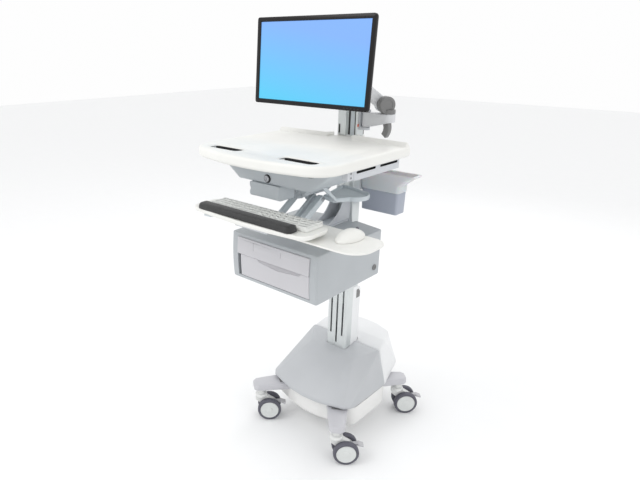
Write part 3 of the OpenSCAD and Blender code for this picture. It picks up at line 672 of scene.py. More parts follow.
def make_base():
    plan = fillet([(150, -112, 30), (150, 150, 30), (-150, 150, 30), (-150, -112, 30)])
    legs = [leg_shape(corner) for corner in STEMS]
    part("base_frame", combined(plate(plan, LEG_LOW + 1, LEG_LOW + 13), legs, "UNION"))
    for corner in STEMS:
        # A dark strip on each leg, just past the edge of the covers, is painted shade standing in for the
        # shadowed recess there.
        root, run = leg_axes(corner)[:2]
        middle = root + run * (cover_edge(run) + SHADE_STRIP[0] / 2 + 1)
        turn = move((middle.x, middle.y, 0)) @ Matrix.Rotation(atan2(run.y, run.x), 4, "Z")
        half_long, half_wide = SHADE_STRIP[0] / 2, SHADE_STRIP[1] / 2
        strip = box(-half_long, -half_wide, LEG_TOP - 3, half_long, half_wide, LEG_TOP + 0.6, 0.8)
        detail("painted_leg_shade." + corner, "base_frame", strip, "arm_dark", turn)
    skirt = symmetric([(0, -160, 0), (60, -155, 40), (114, -141, 40), (202, -112, 40), (204, 112, 26),
        (112, 160, 26), (112, 286, 16)])
    part("lower_pan", cup(fillet(skirt), 85, COVER_LOW - 1, 4, 4, 1.2, 14))


FRONT_LOW = [(0, -184), (65, -179), (126, -160), (200, -102), (205, 108)]
FRONT_NOSE = [(0, -184), (65, -180), (130, -167), (180, -150), (198, -128), (204, 108)]
NOSE_Z, RIDGE_Z, RIDGE_X = 204, 331, 172
CROWN = [(0, -92, 242, 18), (95, -84, 236, 18), (150, -62, 226, 18), (0, 8, 292, 22), (104, 12, 292, 22),
    (146, 24, 276, 20)]
PASSAGE = (51, 32, 131.5)


def rim_balls(outline, height, radius, back_open):
    """Balls inside an outline, so that the hull's edge meets it."""
    balls = []
    for x, y in outline:
        inward = Vector((-x, -y)).normalized() if y < 0 or not back_open else Vector((-1, 0))
        balls.append((x + inward.x * radius, y + inward.y * radius, height, radius))
    return balls


def passage():
    half, front, back = PASSAGE
    return plate(round_rect(-half, front, half, back, 9), 100, 420, 0, 0)


def make_covers():
    balls = rim_balls(FRONT_LOW, COVER_LOW + 3, 3, True) + rim_balls(FRONT_NOSE, NOSE_Z - 16, 10, True)
    balls += CROWN + [(RIDGE_X - 10, 100, RIDGE_Z - 10, 10), (204 - 6, 104, COVER_LOW + 6, 6)]
    part("base_cover", combined(hull(mirrored_balls(balls)), [passage()]), edge=0.8)
    low = [(204, 114), (176, 172), (152, 292), (60, 310), (0, 312)]
    top = [(160, 180), (122, 258), (60, 280), (0, 285)]
    balls = [(x * 0.98, y - 4 if y > 120 else y, z, 4) for x,
        y in low for z in (COVER_LOW + 4, COVER_LOW + 16)]
    balls += [(x - min(x, 14) * 0.7, y - 12, 336, 12) for x, y in top]
    balls += [(RIDGE_X - 10, 120, RIDGE_Z - 9, 9), (150, 236, 250, 12), (60, 288, 250, 10)]
    part("battery_cover", combined(hull(mirrored_balls(balls)), [passage()]), edge=0.8)


TRAIL, TRAIL_TURN, WHEEL_R = 36, 43, 50
WHEEL_IN, WHEEL_OUT = 15, 38
PEDAL_X, PEDAL_Z = 62, 70


def caster_frame(corner):
    x, y = STEMS[corner]
    return move((x, y, 0)) @ Matrix.Rotation(radians(TRAIL_TURN), 4, "Z")


def tyre_profile():
    """Half section of a tyre and its web: radius, and distance from the middle of the pair."""
    shoulder = [(WHEEL_R - 5 * (1 - cos(q)), WHEEL_IN + 5 * (1 - sin(q)))
        for q in reversed(quarter(4))]
    outer = [(WHEEL_R - 6 * (1 - cos(q)), WHEEL_OUT - 1 - 6 * (1 - sin(q))) for q in quarter(4)]
    return [(0, WHEEL_IN + 2), (30, WHEEL_IN + 2), (34, WHEEL_IN)] + shoulder + outer + [
        (40.5, WHEEL_OUT - 1), (39.5, WHEEL_OUT - 2), (38.8, WHEEL_OUT - 4.5), (0, WHEEL_OUT - 4.5)]


def hub_profile():
    """The pale disc in the tyre, with a raised edge and a domed centre cap."""
    base, face = WHEEL_OUT - 4.4, WHEEL_OUT - 0.6
    return [(0, base), (38.2, base), (38.4, face - 1), (37.6, face), (35.6, face), (34.6, face - 1.2),
        (14, face - 1.7), (13, face - 0.4), (11.5, face + 0.1), (5, face + 0.5), (0, face + 0.6)]


def make_caster(corner):
    frame = caster_frame(corner)
    for side, name in ((1, "outer"), (-1, "inner")):
        turn = frame @ move((TRAIL, 0, WHEEL_R)) @ Matrix.Rotation(-side * pi / 2, 4, "X")
        piece(f"tyre.{corner}.{name}", "wheel_" + corner, lathe(tyre_profile(), 72), turn, adds=side < 0)
        detail(f"hub.{corner}.{name}", "wheel_" + corner, lathe(hub_profile(), 48), "fork_white", turn,
            material="hub_cap")
    axle = placed(drum(5, 2 * WHEEL_IN + 6), along("Y", (TRAIL, -WHEEL_IN - 3, WHEEL_R)))
    detail("axle." + corner, "wheel_" + corner, axle, "steel", frame)
    body = [(-24, 117, 6), (-24, 88, 10), (12, 56, 12), (24, 36, 10), (48, 36, 12), (66, 60, 5),
        (68, 71, 4), (58, 82, 8), (26, 103, 12), (24, 117, 3)]
    shell = slab(fillet(body), -12.8, 12.8, 3.5, FRONT)
    notch = box(PEDAL_X - 9, -8.6, 60, PEDAL_X + 20, 8.6, 92)
    cap = lathe([(0, 101), (20, 101), (23, 102.5), (24, 105), (24, 113), (22, 116.2), (14, 117.4),
        (12.8, 119), (12.8, 143.5), (0, 143.5)])
    part("fork_" + corner, combined(shell, [notch]), frame)
    detail("swivel_cap." + corner, "fork_" + corner, cap, frame=frame)
    hook = [(-8, -4, 5), (6, -4, 6), (22, -1, 10), (43, -6, 2), (45, 0, 2), (24, 9, 10), (0, 7, 6),
        (-8, 5, 5)]
    tip = [(20, 1, 3), (43, -6, 2), (45, 0, 2), (22, 9, 5)]
    plates = []
    for corners, half, edge in ((hook, 8, 1.5), (tip, 13, 2)):
        outline = fillet([(PEDAL_X + x, PEDAL_Z + z, r) for x, z, r in corners])
        plates.append(slab(outline, -half, half, edge, FRONT))
    part("pedal_" + corner, combined(plates[0], [plates[1]], "UNION"), frame, edge=0.4)


# ---- cabinet
CAB_X, CAB_LEFT, CAB_LOW, CAB_HIGH = 188, 205, 709, 885
CAVITY = (-174.5, 158.5, 723, 872)
FRONT_Y, BOW = -358, 5


def bow(z):
    """How far the cabinet's front stands out at a height."""
    return -BOW * sin(pi * (z - CAB_LOW) / (CAB_HIGH - CAB_LOW))


def bowed(outline, z0, z1, low, high):
    """A plate standing on edge, whose front follows the cabinet's bowed face."""
    profile = edge_profile(z0, z1, low, high, 3)
    middle = [(0, z0 + low + (z1 - z0 - low - high) * i / 12) for i in range(1, 12)]
    half = len(profile) // 2
    rings = []
    for d, z in profile[:half] + middle + profile[half:]:
        rings.append([(x, y + (bow(z) if y < -300 else 0), z) for x, y in inset(outline, d)])
    return loft(rings)


def make_cabinet():
    x0, x1, z0, z1 = CAVITY
    plan = fillet([(CAB_X, 22, 10), (CAB_X, -356, 9), (-CAB_LEFT, -356, 9), (-CAB_LEFT, 22, 10),
        (-56, 48, 8), (-56, 28, 1), (56, 28, 1), (56, 48, 8)], 6)
    shell = combined(bowed(plan, CAB_LOW, CAB_HIGH, 7, 5), [box(x0, -420, z0, x1, 12, z1),
        placed(rod(8.2, 20), along("X", (CAB_X - 8, -16, 747)))])
    part("cabinet_shell", shell, edge=0.7)
    lock = lathe([(0, 0), (8, 0), (8, 8.4), (11, 8.6), (11, 11.4), (10, 12.4), (7.5, 12.6), (7, 11.4),
        (0, 11.4)], 40)
    keyway = placed(box(-1, -5, 10, 1, 5, 20), along("Z", (0, 0, 0)))
    part("cabinet_lock", combined(lock, [keyway]), along("X", (CAB_X - 8.4, -16, 747)),
        slot="steel", material="arm_dark")
    front = bowed(round_rect(-159, FRONT_Y, 158, -344, 3), 725.5, 808, 2.5, 2.5)
    scoop = hull([(-62, FRONT_Y - 12, 814, 18), (22, FRONT_Y - 16, 812, 26), (110, FRONT_Y - 12, 814, 18)],
        10)
    part("drawer_front", combined(front, [scoop]), edge=0.5)
    header = bowed(round_rect(-173.5, FRONT_Y - 3, 158, -344, 3), 809.4, 871.4, 2, 2.5)
    marks = [bowed(round_rect(x, FRONT_Y - 12, x + 3, FRONT_Y - 1.8, 0.4), z0, z1, 0, 0)
        for x, z0, z1 in ((-94, 836, 864), (34, 842, 860))]
    part("drawer_header", combined(header, marks), edge=0.4)


# ---- work surface
def arc(cx, cy, radius, start, end, steps=10):
    turns = [radians(start + (end - start) * i / steps) for i in range(steps + 1)]
    return [(cx + radius * cos(t), cy + radius * sin(t)) for t in turns]


SURFACE_LOW = 1166
SLOT_X, SLOT_Y = (86, 222), (-441, -399)
SURFACE_X = 286
SURFACE_HALF = [(0, -508), (70, -505), (140, -494.5)] + arc(SURFACE_X - 100, -382, 100, -75, 0, 16) + [
    (SURFACE_X, -20)] + arc(SURFACE_X - 12, -8, 12, 0, 90, 6) + [(78, 5), (60, 36), (50, 36)]


def slot_outline(grow):
    return round_rect(SLOT_X[0] - grow, SLOT_Y[0] - grow, SLOT_X[1] + grow, SLOT_Y[1] + grow, 12 + grow, 6)


def mirror_x(shape, side):
    return placed(shape, Matrix.Scale(side, 4, (1, 0, 0))) if side < 0 else shape


def slot_cutter(side):
    """A hand slot with a flared lip."""
    rings = [(0, 1140), (0, 1193), (1, 1195.6), (3, 1197.8), (6, 1199.2), (9, 1199.8), (11, 1201)]
    return mirror_x(loft([level(slot_outline(grow), z) for grow, z in rings]), side)


def rear_rims(side):
    """The raised rear edge, which keeps things from sliding off, and its return beside the mast."""
    edge = [(56, -12, 1196, 3), (278, -22, 1196, 3), (60, -4, 1208, 6), (273, -10, 1208, 6),
        (278, -6, 1198, 5), (76, -1, 1207, 6), (276, -3, 1196, 5)]
    back = [(57, -3, 1208, 6), (73, -2, 1207, 6), (73, -2, 1196, 5), (57, 30, 1207, 6), (57, 30, 1196, 5)]
    return [mirror_x(hull(edge), side), mirror_x(hull(back), side)]


def make_work_surface():
    body = plate(symmetric(SURFACE_HALF), SURFACE_LOW, SURFACE_TOP, 11, 10, 6)
    body = combined(body, rear_rims(1) + rear_rims(-1), "UNION")
    body = combined(body, [slot_cutter(1), slot_cutter(-1), box(-50, 32, 1150, 50, 60, 1230)])
    part("work_surface", body, edge=0.6)
    liners, cheeks = [], []
    for side in (1, -1):
        liners.append(mirror_x(cup(slot_outline(-0.4), 1158, 1195.4, 1.6, 3, 0.5, 2), side))
        for x in (SLOT_X[0] + 2.2, SLOT_X[1] - 3.8):
            cheeks.append(mirror_x(box(x, SLOT_Y[0] + 10, 1172, x + 1.6, SLOT_Y[1] - 10, 1194, 0.7), side))
    part("handle_inserts", joined(*liners))
    detail("slot_cheeks", "handle_inserts", joined(*cheeks), "surface_white")


# ---- below the work surface
TUB_FRONT = -370


def make_undercarriage():
    tub = [(150, 1097, 8), (200, 1130, 7), (231, 1158, 7)]
    balls = [(x, y, z, r) for x, z, r in tub for y in (TUB_FRONT + 9, -69)]
    part("work_tub", combined(hull(mirrored_balls(balls), 8), [box(-260, -400, 1165.7, 260, 0, 1200),
        placed(rod(8.2, 16), along("Y", (-19, TUB_FRONT - 1, 1108)))]), edge=0.8)
    lock = lathe([(0, 0), (8, 0), (8, 11.6), (11, 11.8), (11, 16.6), (10, 17.8), (7.4, 18), (6.8, 16.6),
        (0, 16.6)], 40)
    turn = move((-19, TUB_FRONT + 11.5, 1108)) @ FORWARD
    part("surface_lock", combined(lock, [box(-1, -5, 15, 1, 5, 24)]), turn, slot="steel")
    ring = lathe([(11.4, 0), (14, 0), (14, 1.4), (13.2, 2), (11.4, 2), (11.4, 0)], 40)
    detail("lock_ring", "work_tub", ring, "dark_plastic", move((-19, TUB_FRONT + 0.2, 1108)) @ FORWARD)
    side = fillet([(-375, 1044, 8), (-366, 1040, 10), (-296, 1040, 6), (-296, 1088.6, 2),
        (-375, 1088.6, 2)])
    waist = [(-97, 0), (-93, 0), (-88, 0.6), (-60, 1.5), (0, 1.5), (30, 0.6), (34.5, 0), (36, 0)]
    rings = []
    for x, depth in waist:
        pull = 2.5 if x in (-97, 36) else 0
        rings.append([(x, y + (depth if y < -330 else 0), z) for y, z in inset(side, pull)])
    box_shape = loft(rings)
    scoop = placed(rod(13, 90, 48), along("Y", (-104, -384, 1066)))
    part("console_box", combined(box_shape, [scoop]), edge=0.8)
    make_housing()


HOUSING_R, HOUSING_Z = 76, 1098
STRUTS = ((-46, -34), (26, 38), (52, 74))
EARS = ((-30, -18), (4, 22))
ARM_PIVOT = (-190, 1020)
HEAD_PIVOT = (-290, 958)


def make_housing():
    """The drum that the keyboard arm hangs from, with stepped ends, a ribbed nose and pivot ears."""
    rings = []
    for y, shrink in ((-120, 4), (-121.5, 1.2), (-124, 0), (-206, 0), (-208, 2), (-212, 2), (-214, 0),
            (-252, 0), (-256.5, 1.5), (-260, 6)):
        radius = HOUSING_R - shrink
        rings.append([(x, y, z) for x, z in [(-radius + 2, 1088.6)] + arc(0, HOUSING_Z, radius, 188, 352,
            40) + [
            (radius - 2, 1088.6)]])
    drum_shape = loft(rings)
    cutters = []
    for x0, x1 in STRUTS:
        cutters.append(box(x0 - 2, ARM_PIVOT[0] - 72, 990, x1 + 2, ARM_PIVOT[0] + 24, 1046))
    body = combined(drum_shape, cutters)
    ears = []
    for x0, x1 in EARS:
        outline = [(ARM_PIVOT[0] - 14, 1040), (ARM_PIVOT[0] + 14, 1040)] + arc(*ARM_PIVOT, 14, 0, -180, 12)
        ears.append(slab(outline, x0, x1, 1.2, SIDE))
    part("arm_housing", combined(body, ears, "UNION"), edge=0.8)
    nose = lathe([(0, 0), (15, 0), (15, 2.2), (13.8, 3.2), (12.4, 3.2), (11.4, 2), (4, 1.7), (0, 1.7)], 40)
    detail("housing_boss", "arm_housing", nose, "bracket_grey", move((0, -259.6, 1052)) @ FORWARD)
    for k, x in enumerate((-26, 26)):
        rib = box(x - 2.5, -262.4, 1036 + 6, x + 2.5, -256, 1084, 1.4)
        detail(f"housing_rib.{k}", "arm_housing", rib, "bracket_grey")


def bar(x0, x1, half, start, end, edge=2.0):
    """A flat strut with round ends between two pivots, seen from the side."""
    run = Vector(end) - Vector(start)
    turn = degrees(atan2(run.y, run.x))
    outline = arc(*start, half, turn + 90, turn + 270, 10) + arc(*end, half, turn - 90, turn + 90, 10)
    return slab(outline, x0, x1, edge, SIDE)


def make_keyboard_arm():
    struts = [bar(x0, x1, 12, ARM_PIVOT, HEAD_PIVOT, 2.5 if x1 - x0 > 15 else 1.8) for x0, x1 in STRUTS]
    rods = [placed(drum(5, 86), along("X", (-34, y, z))) for y, z in (ARM_PIVOT, HEAD_PIVOT)]
    part("tray_arm", joined(*struts, *rods))
    for k, (y, z) in enumerate((ARM_PIVOT, HEAD_PIVOT)):
        cap = lathe([(0, 0), (8.5, 0), (8.5, 1.2), (7.4, 2.2), (4, 2.2), (3.4, 1), (0, 1)], 32)
        detail(f"pivot_cap.{k}", "tray_arm", cap, "steel", along("X", (74, y, z)))


RAIL_X = 264


def make_rails():
    rails, liners, screws = [], [], []
    for side in (1, -1):
        body = hull([(x, y, z, 2) for x in (RAIL_X - 6, RAIL_X - 2) for y in (-290, -32) for z in (1133,
            1163.6)])
        tab = hull([(x, y, z, 2.5) for x in (RAIL_X - 21.5, RAIL_X - 4.5) for y in (-319,
            -290) for z in (1136.5, 1163)])
        cutters = []
        for y in (-280, -148):
            outline = fillet([(y, 1152, 4), (y + 106, 1152, 4), (y + 106, 1160, 4), (y, 1160, 4)], 6)
            cutters.append(slab(outline, RAIL_X - 12, RAIL_X + 2, 0, SIDE))
            rings = [(inset(outline, 0.1), RAIL_X - 7.8), (inset(outline, 0.1), RAIL_X - 0.5),
                (inset(outline, 0.9), RAIL_X - 0.5), (inset(outline, 0.9), RAIL_X - 7.8)]
            liners.append(mirror_x(placed(loft([level(o, x) for o, x in rings], True), SIDE), side))
        rails.append(mirror_x(combined(combined(body, [tab], "UNION"), cutters), side))
        for y, z in ((-306, 1156), (-306, 1143)):
            head = combined(drum(3.6, 2.4, 0.8, 24), [lathe([(0, 1.2), (1.8, 1.2), (1.8, 4), (0, 4)], 6)])
            screws.append(mirror_x(placed(head, along("X", (RAIL_X - 2.6, y, z))), side))
    part("side_rails", joined(*rails), edge=0.4)
    backs = [mirror_x(box(RAIL_X - 14, -286, 1147, RAIL_X - 8.3, -36, 1163, 0.8), side) for side in (1, -1)]
    detail("rail_backs", "side_rails", joined(*backs), "dark_plastic")
    detail("rail_liners", "side_rails", joined(*liners), "dark_plastic")
    detail("rail_screws", "side_rails", joined(*screws), "steel")


SCOOP_Z = 1006


def make_scoop():
    """A shallow tray with a thick rolled rim, its tongue and the strut that carries it."""
    bowl = arc(112, -60, 56, 60, -70, 20) + [(100, -166), (44, -148), (4, 20), (38, 22)]
    rings = [(3, SCOOP_Z), (1, SCOOP_Z + 0.6), (0, SCOOP_Z + 3), (0, SCOOP_Z + 13), (1, SCOOP_Z + 15.4),
        (2.6, SCOOP_Z + 16),
        (4.2, SCOOP_Z + 15.4), (5.2, SCOOP_Z + 13), (6.5, SCOOP_Z + 6), (10, SCOOP_Z + 4)]
    part("cable_scoop", skin(bowl, rings))
    strut = [(-160, 1010, 3), (-146, 1010, 3), (-238, 1088.5, 2), (-262, 1088.5, 2)]
    detail("scoop_strut", "cable_scoop", slab(fillet(strut), 103, 111, 1.5, SIDE))


# ---- keyboard tray, keyboard, mouse
TRAY_LOW, TRAY_TOP = 986, 1002
TRAY_HALF = [(0, -522), (120, -517)] + arc(212, -468, 40, -75, 0, 10) + arc(222, -408, 30, 0, 90,
    8) + [(60, -378)]


def make_keyboard_tray():
    rings = [(9, TRAY_LOW), (3, TRAY_LOW + 2), (0.8, TRAY_LOW + 5), (0, TRAY_LOW + 8), (0, TRAY_TOP - 3),
        (0.6, TRAY_TOP - 1.2),
        (2, TRAY_TOP - 0.2), (3.4, TRAY_TOP), (5, TRAY_TOP - 0.2), (6.4, TRAY_TOP - 0.5)]
    body = skin(symmetric(TRAY_HALF), rings)
    lugs = []
    for x in (-60, 54):
        outline = [(-391, 987), (-409, 987)] + list(reversed(arc(-400, 960, 9, 0, -180, 12)))
        lugs.append(slab(outline, x, x + 6, 0.8, SIDE))
    pins = [placed(drum(3, 16, 0.5, 24), along("X", (x, -400, 960))) for x in (-70, 54)]
    part("keyboard_tray", joined(body, *lugs, *pins))
    lever = hull([(-176, -508, 984, 3), (-150, -506, 984, 3), (-170, -486, 978, 3), (-156, -484, 978, 3),
        (-176, -474, 984, 3), (-150, -474, 984, 3)])
    detail("tray_lever", "keyboard_tray", lever, "tub_grey")


PALM_X = (-208, 198)


def make_palm_rest():
    """A foam pad under a grained skin: crowned, with drawn-in ends and a seam low on its sides."""
    stations = 46
    rings = []
    for i in range(stations + 1):
        share = i / stations
        x = PALM_X[0] + (PALM_X[1] - PALM_X[0]) * share
        end = min(x - PALM_X[0], PALM_X[1] - x)
        swell = min(1, sqrt(max(0.0, 1 - (1 - min(end, 10) / 10) ** 2)))
        ring = []
        for j in range(24):
            t = tau * j / 24
            c, s = cos(t), sin(t)
            half = 23 * (0.62 + 0.38 * swell) if swell < 1 else 23
            y = -490 + half * copysign(abs(c) ** 0.55, c)
            rise = 19.6 * (0.55 + 0.45 * swell)
            z = TRAY_TOP + 1.2 + (rise * abs(s) ** 0.6 if s > 0 else -1.0 * abs(s) ** 0.3)
            z += 0.25 * noise(Vector((x / 40, y / 20, 3)))
            ring.append((x, y, z))
        rings.append(ring)
    pad = piece("palm_pad", "palm_rest", loft(rings), smooth=radians(75))


KEY_ROWS = (
    (1,) * 18,
    (1.5,) + (1,) * 15 + (1.5,),
    (1.8,) + (1,) * 14 + (2.2,),
    (1.3, 1, 1.2, 6.2, 1.2, 1, 1.3, 1, 1, 1, 1.8),
)


def key_cap(x0, x1, y0, y1, base, top):
    taper = 1.6
    rings = [(0, base), (0.2, base + 0.6), (taper * 0.7, top - 0.7), (taper, top - 0.15),
        (taper + 0.8, top - 0.1), (taper + 2.4, top - 0.45)]
    return skin(round_rect(x0, y0, x1, y1, 1.6, 3), rings)


def make_keyboard():
    case = round_rect(-208, -465, 226, -384, 7, 6)
    rings = [(1, TRAY_TOP), (0, TRAY_TOP + 1.5), (0, TRAY_TOP + 7), (0.8, TRAY_TOP + 9),
        (2.4, TRAY_TOP + 10), (3.4, TRAY_TOP + 10), (4, TRAY_TOP + 9.2), (4.8, TRAY_TOP + 9.2)]
    caps = []
    deep = 73.0 / len(KEY_ROWS)
    for row, widths in enumerate(KEY_ROWS):
        y1 = -388 - row * deep
        unit = 425.0 / sum(widths)
        x = -203.5
        for width in widths:
            caps.append(key_cap(x + 0.8, x + width * unit - 0.8, y1 - deep + 1, y1 - 0.8, TRAY_TOP + 8.6,
                TRAY_TOP + 14 - row * 0.3))
            x += width * unit
    part("keyboard", skin(case, rings))
    detail("key_caps", "keyboard", joined(*caps))


MOUSE_TRAY_TOP = 974


def make_mouse_tray():
    outline = [(140, -464), (330, -464)] + arc(345, -398, 65, -80, 0, 14) + arc(360, -350, 50, 0, 90,
        12) + [(140, -300)]
    rings = [(5, 967.9), (1.5, 968.3), (0, 970), (0, 973.4), (0.6, 974.6), (2, 975), (3.6, 974.7),
        (4.6, MOUSE_TRAY_TOP)]
    tray = skin(outline, rings)
    slide = box(141, -463, MOUSE_TRAY_TOP - 0.5, 160, -301, TRAY_LOW - 0.4, 1.2)
    part("mouse_tray", joined(tray, slide))


def make_mouse():
    """A domed shell with a split between the buttons and a wheel in the split."""
    rings = []
    size = 44
    for k in range(13):
        up = k / 12
        shrink = cos(pi / 2 * up ** 1.15) ** 0.62 if k < 12 else 0.08
        ring = []
        for j in range(size):
            t = tau * j / size
            long, wide = 61.5, 35.5 * (1 - 0.10 * cos(t + pi / 2) ** 2) + 1.5 * sin(t)
            x = wide * cos(t) * shrink
            y = long * sin(t) * shrink
            z = 0.6 + up * (30.5 - 8.5 * (y / 62 - 0.1) ** 2)
            ring.append((x, y, z))
        rings.append(ring)
    frame = move((302, -352, MOUSE_TRAY_TOP + 0.3))
    shell = combined(loft(rings), [box(-0.5, 6, 16, 0.5, 80, 60), box(-3.4, 26, 18, 3.4, 44, 60)])
    part("mouse", shell, frame, edge=0.4)
    wheel = lathe([(0, -2.4), (7, -2.4), (8, -1.4), (8, 1.4), (7, 2.4), (0, 2.4)], 32)
    detail("mouse_wheel", "mouse", placed(wheel, along("X", (0, 35, 19.4))), "wheel_grey", frame)


# ---- bin
BIN = (64, 60, 218, 124)
SPOUT = 54


def make_bin():
    x0, y0, x1, y1 = BIN
    outline = round_rect(x0, y0, x1, y1, 10, 6)
    taper = [(6, 932), (3, 933), (1.6, 936), (0, 1010), (0, 1040), (3, 1040), (3, 1012), (4.4, 938),
        (7, 935)]
    part("bin_body", skin(outline, taper), edge=0.5)
    rings = []
    profile = [(0.1, 1014, 0), (-2.6, 1014.6, 0), (-3, 1018, 0), (-3, 1040, 0), (-3, 1066, 0.6),
        (-3, 1076, 0.92), (-3, 1080, 1),
        (-2, 1081.8, 1), (0, 1082, 1), (2.4, 1081, 0.96), (3, 1078, 0.9), (3, 1062, 0.52), (3, 1048, 0.1),
        (3, 1041, 0), (0.1, 1041, 0)]
    for d, z, flare in profile:
        ring = []
        for x, y in inset(outline, d):
            share = max(0.0, (x - 150) / (x1 - 150))
            ring.append((x + SPOUT * flare * share ** 1.2 if x > 150 else x, y, z))
        rings.append(ring)
    part("bin_rim", loft(rings, True))


# ---- display arm
PIN_Y, ELBOW_X, PIN_X = 67, 150, 62
ARM_FRAME = move((130, PIN_Y, 1320)) @ Matrix.Rotation(radians(236.2), 4, "Z")
ARM_REACH, ARM_RISE, BARREL_R = 176, 132, 29
SWUNG = ARM_FRAME @ FORWARD


def make_display_arm():
    balls = []
    for x, half, low, high in ((PIN_X, 14.4, 1237, 1289.5), (92, 14.6, 1241, 1289.5),
            (ELBOW_X, 26, 1261, 1289.5)):
        for i in range(20):
            t = tau * i / 20
            if x == 92 and abs(cos(t)) > 0.3:
                continue
            for z in (low + 3, high - 3):
                balls.append((x + (half - 3) * cos(t), PIN_Y + (half - 3) * sin(t), z, 3))
    bore = placed(rod(6.1, 60), along("Z", (PIN_X, PIN_Y, 1234)))
    seat = placed(rod(8.1, 30), along("Z", (ELBOW_X, PIN_Y, 1270)))
    part("arm_link", combined(hull(balls), [bore, seat]), edge=0.5)
    hook = [(138, 1255.5), (150, 1259.8), (160, 1259.8)] + arc(110, 1240, 52, 22, -40, 16) + arc(110, 1240,
        31, -40, 27, 14)
    part("cable_hook", slab(hook, PIN_Y - 11, PIN_Y + 11, 1.5, FRONT))
    strip = arc(110, 1240, 31.2, -36, 24, 14) + arc(110, 1240, 29.4, 24, -36, 14)
    detail("hook_strip", "cable_hook", slab(strip, PIN_Y - 8, PIN_Y + 8, 0.5, FRONT), "arm_light")
    make_elbow()
    make_upper_arm()


def make_elbow():
    barrel = placed(drum(BARREL_R, 32, 3.5, 64), SWUNG @ move((0, 0, -34)))
    groove = placed(lathe([(BARREL_R - 1, 0), (BARREL_R + 2, 0), (BARREL_R + 2, 1.6), (BARREL_R - 1, 1.6),
        (BARREL_R - 1, 0)], 64), SWUNG @ move((0, 0, -25)))
    dish = placed(lathe([(0, 0), (18, 0), (19, -2), (0, -2)], 48), SWUNG @ move((0, 0, -32.6)))
    axle = placed(drum(7, 34), SWUNG @ move((0, 0, -3)))
    foot = placed(drum(25, 14, 2, 56), along("Z", (ELBOW_X, PIN_Y, 1290.3)))
    relief = placed(lathe([(0, -1.7), (BARREL_R - 2.4, -1.7), (BARREL_R - 2.4, 60), (0, 60)], 56), SWUNG)
    pin = placed(drum(8, 19), along("Z", (ELBOW_X, PIN_Y, 1272)))
    body = combined(combined(foot, [relief]), [barrel], "UNION")
    body = combined(body, [groove, dish])
    part("elbow", joined(body, axle, pin), edge=0.5)


def make_upper_arm():
    slope, length = atan2(ARM_RISE, ARM_REACH), hypot(ARM_REACH, ARM_RISE)
    balls = []
    for x, half in ((4, 21.5), (length * 0.5, 20.5), (length - 34, 17)):
        for v in (-half + 5, half - 5):
            for w in (-20.5, -5.5):
                balls.append((x, w, v, 5))
    beam = placed(hull(balls, 6), Matrix.Rotation(-slope, 4, "Y"))
    hub = placed(drum(BARREL_R - 3, 28, 2.5, 56), FORWARD @ move((0, 0, -1.7)))
    tip = []
    for w in (-6, -26):
        outline = arc(length, 0, 19.5, -90, 90, 12) + [(length - 44, 17), (length - 44, -17)]
        tip.append(placed(slab(outline, w + 0.2, w + 5.8, 1, FRONT), Matrix.Rotation(-slope, 4, "Y")))
    body = combined(beam, [hub] + tip, "UNION")
    bores = [placed(rod(7.1, 60), FORWARD @ move((0, 0, -10))),
        placed(rod(6.1, 40), move((ARM_REACH, 5, ARM_RISE)) @ FORWARD)]
    channel = placed(box(34, -31, -3.5, length - 52, -25, 3.5), Matrix.Rotation(-slope, 4, "Y"))
    part("upper_arm", combined(body, bores + [channel]), ARM_FRAME, edge=0.6)


# ---- display
SCREEN_W, SCREEN_H, BEZEL = 443, 249, 15
SCREEN_FRAME = move((0, -189, 1462)) @ Matrix.Rotation(radians(-3.7), 4, "X")
OUT_W, OUT_H = SCREEN_W + 2 * BEZEL, SCREEN_H + 2 * BEZEL


def screen_skin(rows, closed=False):
    """A skin round the display, from rows of (width taken off, height taken off, corner radius, depth)."""
    rings = []
    for less_wide, less_high, radius, depth in rows:
        half_w, half_h = (OUT_W - less_wide) / 2, (OUT_H - less_high) / 2
        rings.append([(x, depth, z) for x, z in round_rect(-half_w, -half_h, half_w, half_h, radius, 6)])
    return loft(rings, closed)


def make_display():
    """A polished frame with a stepped inner lip, and a vented back shell with a raised middle."""
    lip = 2 * BEZEL
    frame_rows = [(0, 0, 8, 8), (0, 0, 8, -0.4), (0.8, 0.8, 7.6, -1.5), (3, 3, 7, -2),
        (lip - 5, lip - 5, 2, -2),
        (lip - 3.6, lip - 3.6, 1.6, -1.4), (lip - 0.4, lip - 0.4, 1, 1.9), (8.2, 8.2, 3, 2), (8, 8, 3, 8)]
    part("monitor_bezel", screen_skin(frame_rows, True), SCREEN_FRAME)
    key_x = [150 + 13 * k for k in range(5)]
    keys = [box(x - 3.4, -2.6, -OUT_H / 2 + 5, x + 3.4, -1.6, -OUT_H / 2 + 8, 0.4) for x in key_x]
    detail("display_keys", "monitor_bezel", joined(*keys), "dark_plastic", SCREEN_FRAME)
    back = screen_skin([(3, 3, 7, 8.2), (3.4, 3.4, 7, 13), (8, 8, 8, 17.5), (20, 20, 10, 19.6),
        (84, 66, 16, 20.4), (98, 78, 16, 23), (108, 88, 15, 31), (114, 94, 14, 33.4), (120, 100, 12, 33.8)])
    vents = [box(k * 15 - 4.5, 30, z, k * 15 + 4.5, 36, z + 2.4) for z in (56, 62) for k in range(-9, 10)]
    ports = [box(-150, 26, -66, -70, 40, -58), box(70, 26, -66, 150, 40, -58)]
    part("monitor_housing", combined(back, vents + ports), SCREEN_FRAME, edge=0.4)


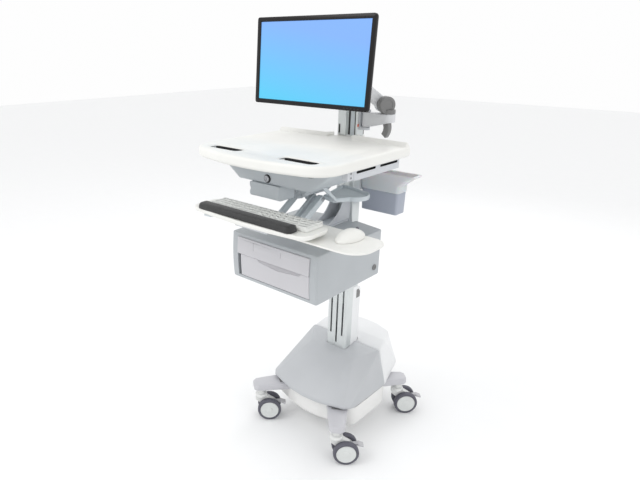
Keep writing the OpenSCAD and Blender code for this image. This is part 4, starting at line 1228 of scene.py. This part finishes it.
# ---- mast details and CAD nodes that keep their shape
def make_mast_details():
    ring = [(44, 38, 4), (44, 96, 10), (-44, 96, 10), (-44, 38, 4)]
    outer, inner = fillet(ring), fillet([(x * 0.925, 41.6 if y < 50 else 92.6, 2) for x, y, r in ring])
    rings = [level(outer, 1196), level(outer, 1201), level(inset(outer, 0.8), 1202),
        level(inset(inner, -0.6), 1202), level(inner, 1201.4), level(inner, 1196)]
    detail("mast_collar_ring", "mast", loft(rings, True), "surface_white")
    for name, x0, x1, front, slot in (("mast_groove.left", 3, 10.5, 41.3, "dark_plastic"),
            ("mast_inlay", 12, 28.5, 40.8, "arm_blue_grey"),
            ("mast_groove.right", 30, 33.6, 41.3, "dark_plastic")):
        detail(name, "mast", box(x0, front, 1206, x1, 43, 1326, 0.4), slot)
    detail("mast_groove.side", "mast", box(39, 84, 1206, 40.5, 88, 1326, 0.4), "dark_plastic")
    patch = box(39.4, 45, 1236, 40.8, 66, 1246, 0.35)
    detail("mast_patch", "mast", patch, "dark_plastic", material="label_red")
    dark = box(-36, 35.4, 1210, -30, 36.8, 1242, 0.5)
    detail("mast_slot", "mast", dark, "dark_plastic")


def make_cover_inset():
    """The dark finger catch on the right of the column's cable cover."""
    catch = fillet([(92, 537, 3), (117, 537, 3), (117, 560, 12), (108, 575, 9), (92, 575, 4)])
    detail("cover_catch", "column_cover", placed(plate(catch, 49, 50.7, 0.3, 0.5), SIDE), "arm_dark")


KEEP_EDGE = {
    "column_extrusion": 0.8, "column_cover": 1.6, "riser": 0.8, "mast": 1.0, "mast_collar": 1.2,
    "lift_bracket": 1.0,
    "battery_pack": 2.0, "tray_head": 1.0, "arm_head": 1.2, "pan_head": 1.2, "tilt_block": 1.0,
    "vesa_plate": 1.0,
    "screen_panel": 0.3, "drawer_tray": 0.8, "cabinet_runners": 0.8, "column_glides": 0.6,
    "lift_strut": 0.8, "strut_rod": 0.8,
}


def finish_kept_nodes():
    for node, thing in NODES.items():
        thing.data.materials.clear()
        thing.data.materials.append(MATERIALS[SLOT_OF[node]])
        if node in KEEP_EDGE:
            soften(thing, KEEP_EDGE[node])


make_base()
make_covers()
for corner_name in STEMS:
    make_caster(corner_name)
make_cabinet()
make_work_surface()
make_undercarriage()
make_keyboard_arm()
make_rails()
make_scoop()
make_keyboard_tray()
make_palm_rest()
make_keyboard()
make_mouse_tray()
make_mouse()
make_bin()
make_display_arm()
make_display()
make_mast_details()
make_cover_inset()
finish_kept_nodes()
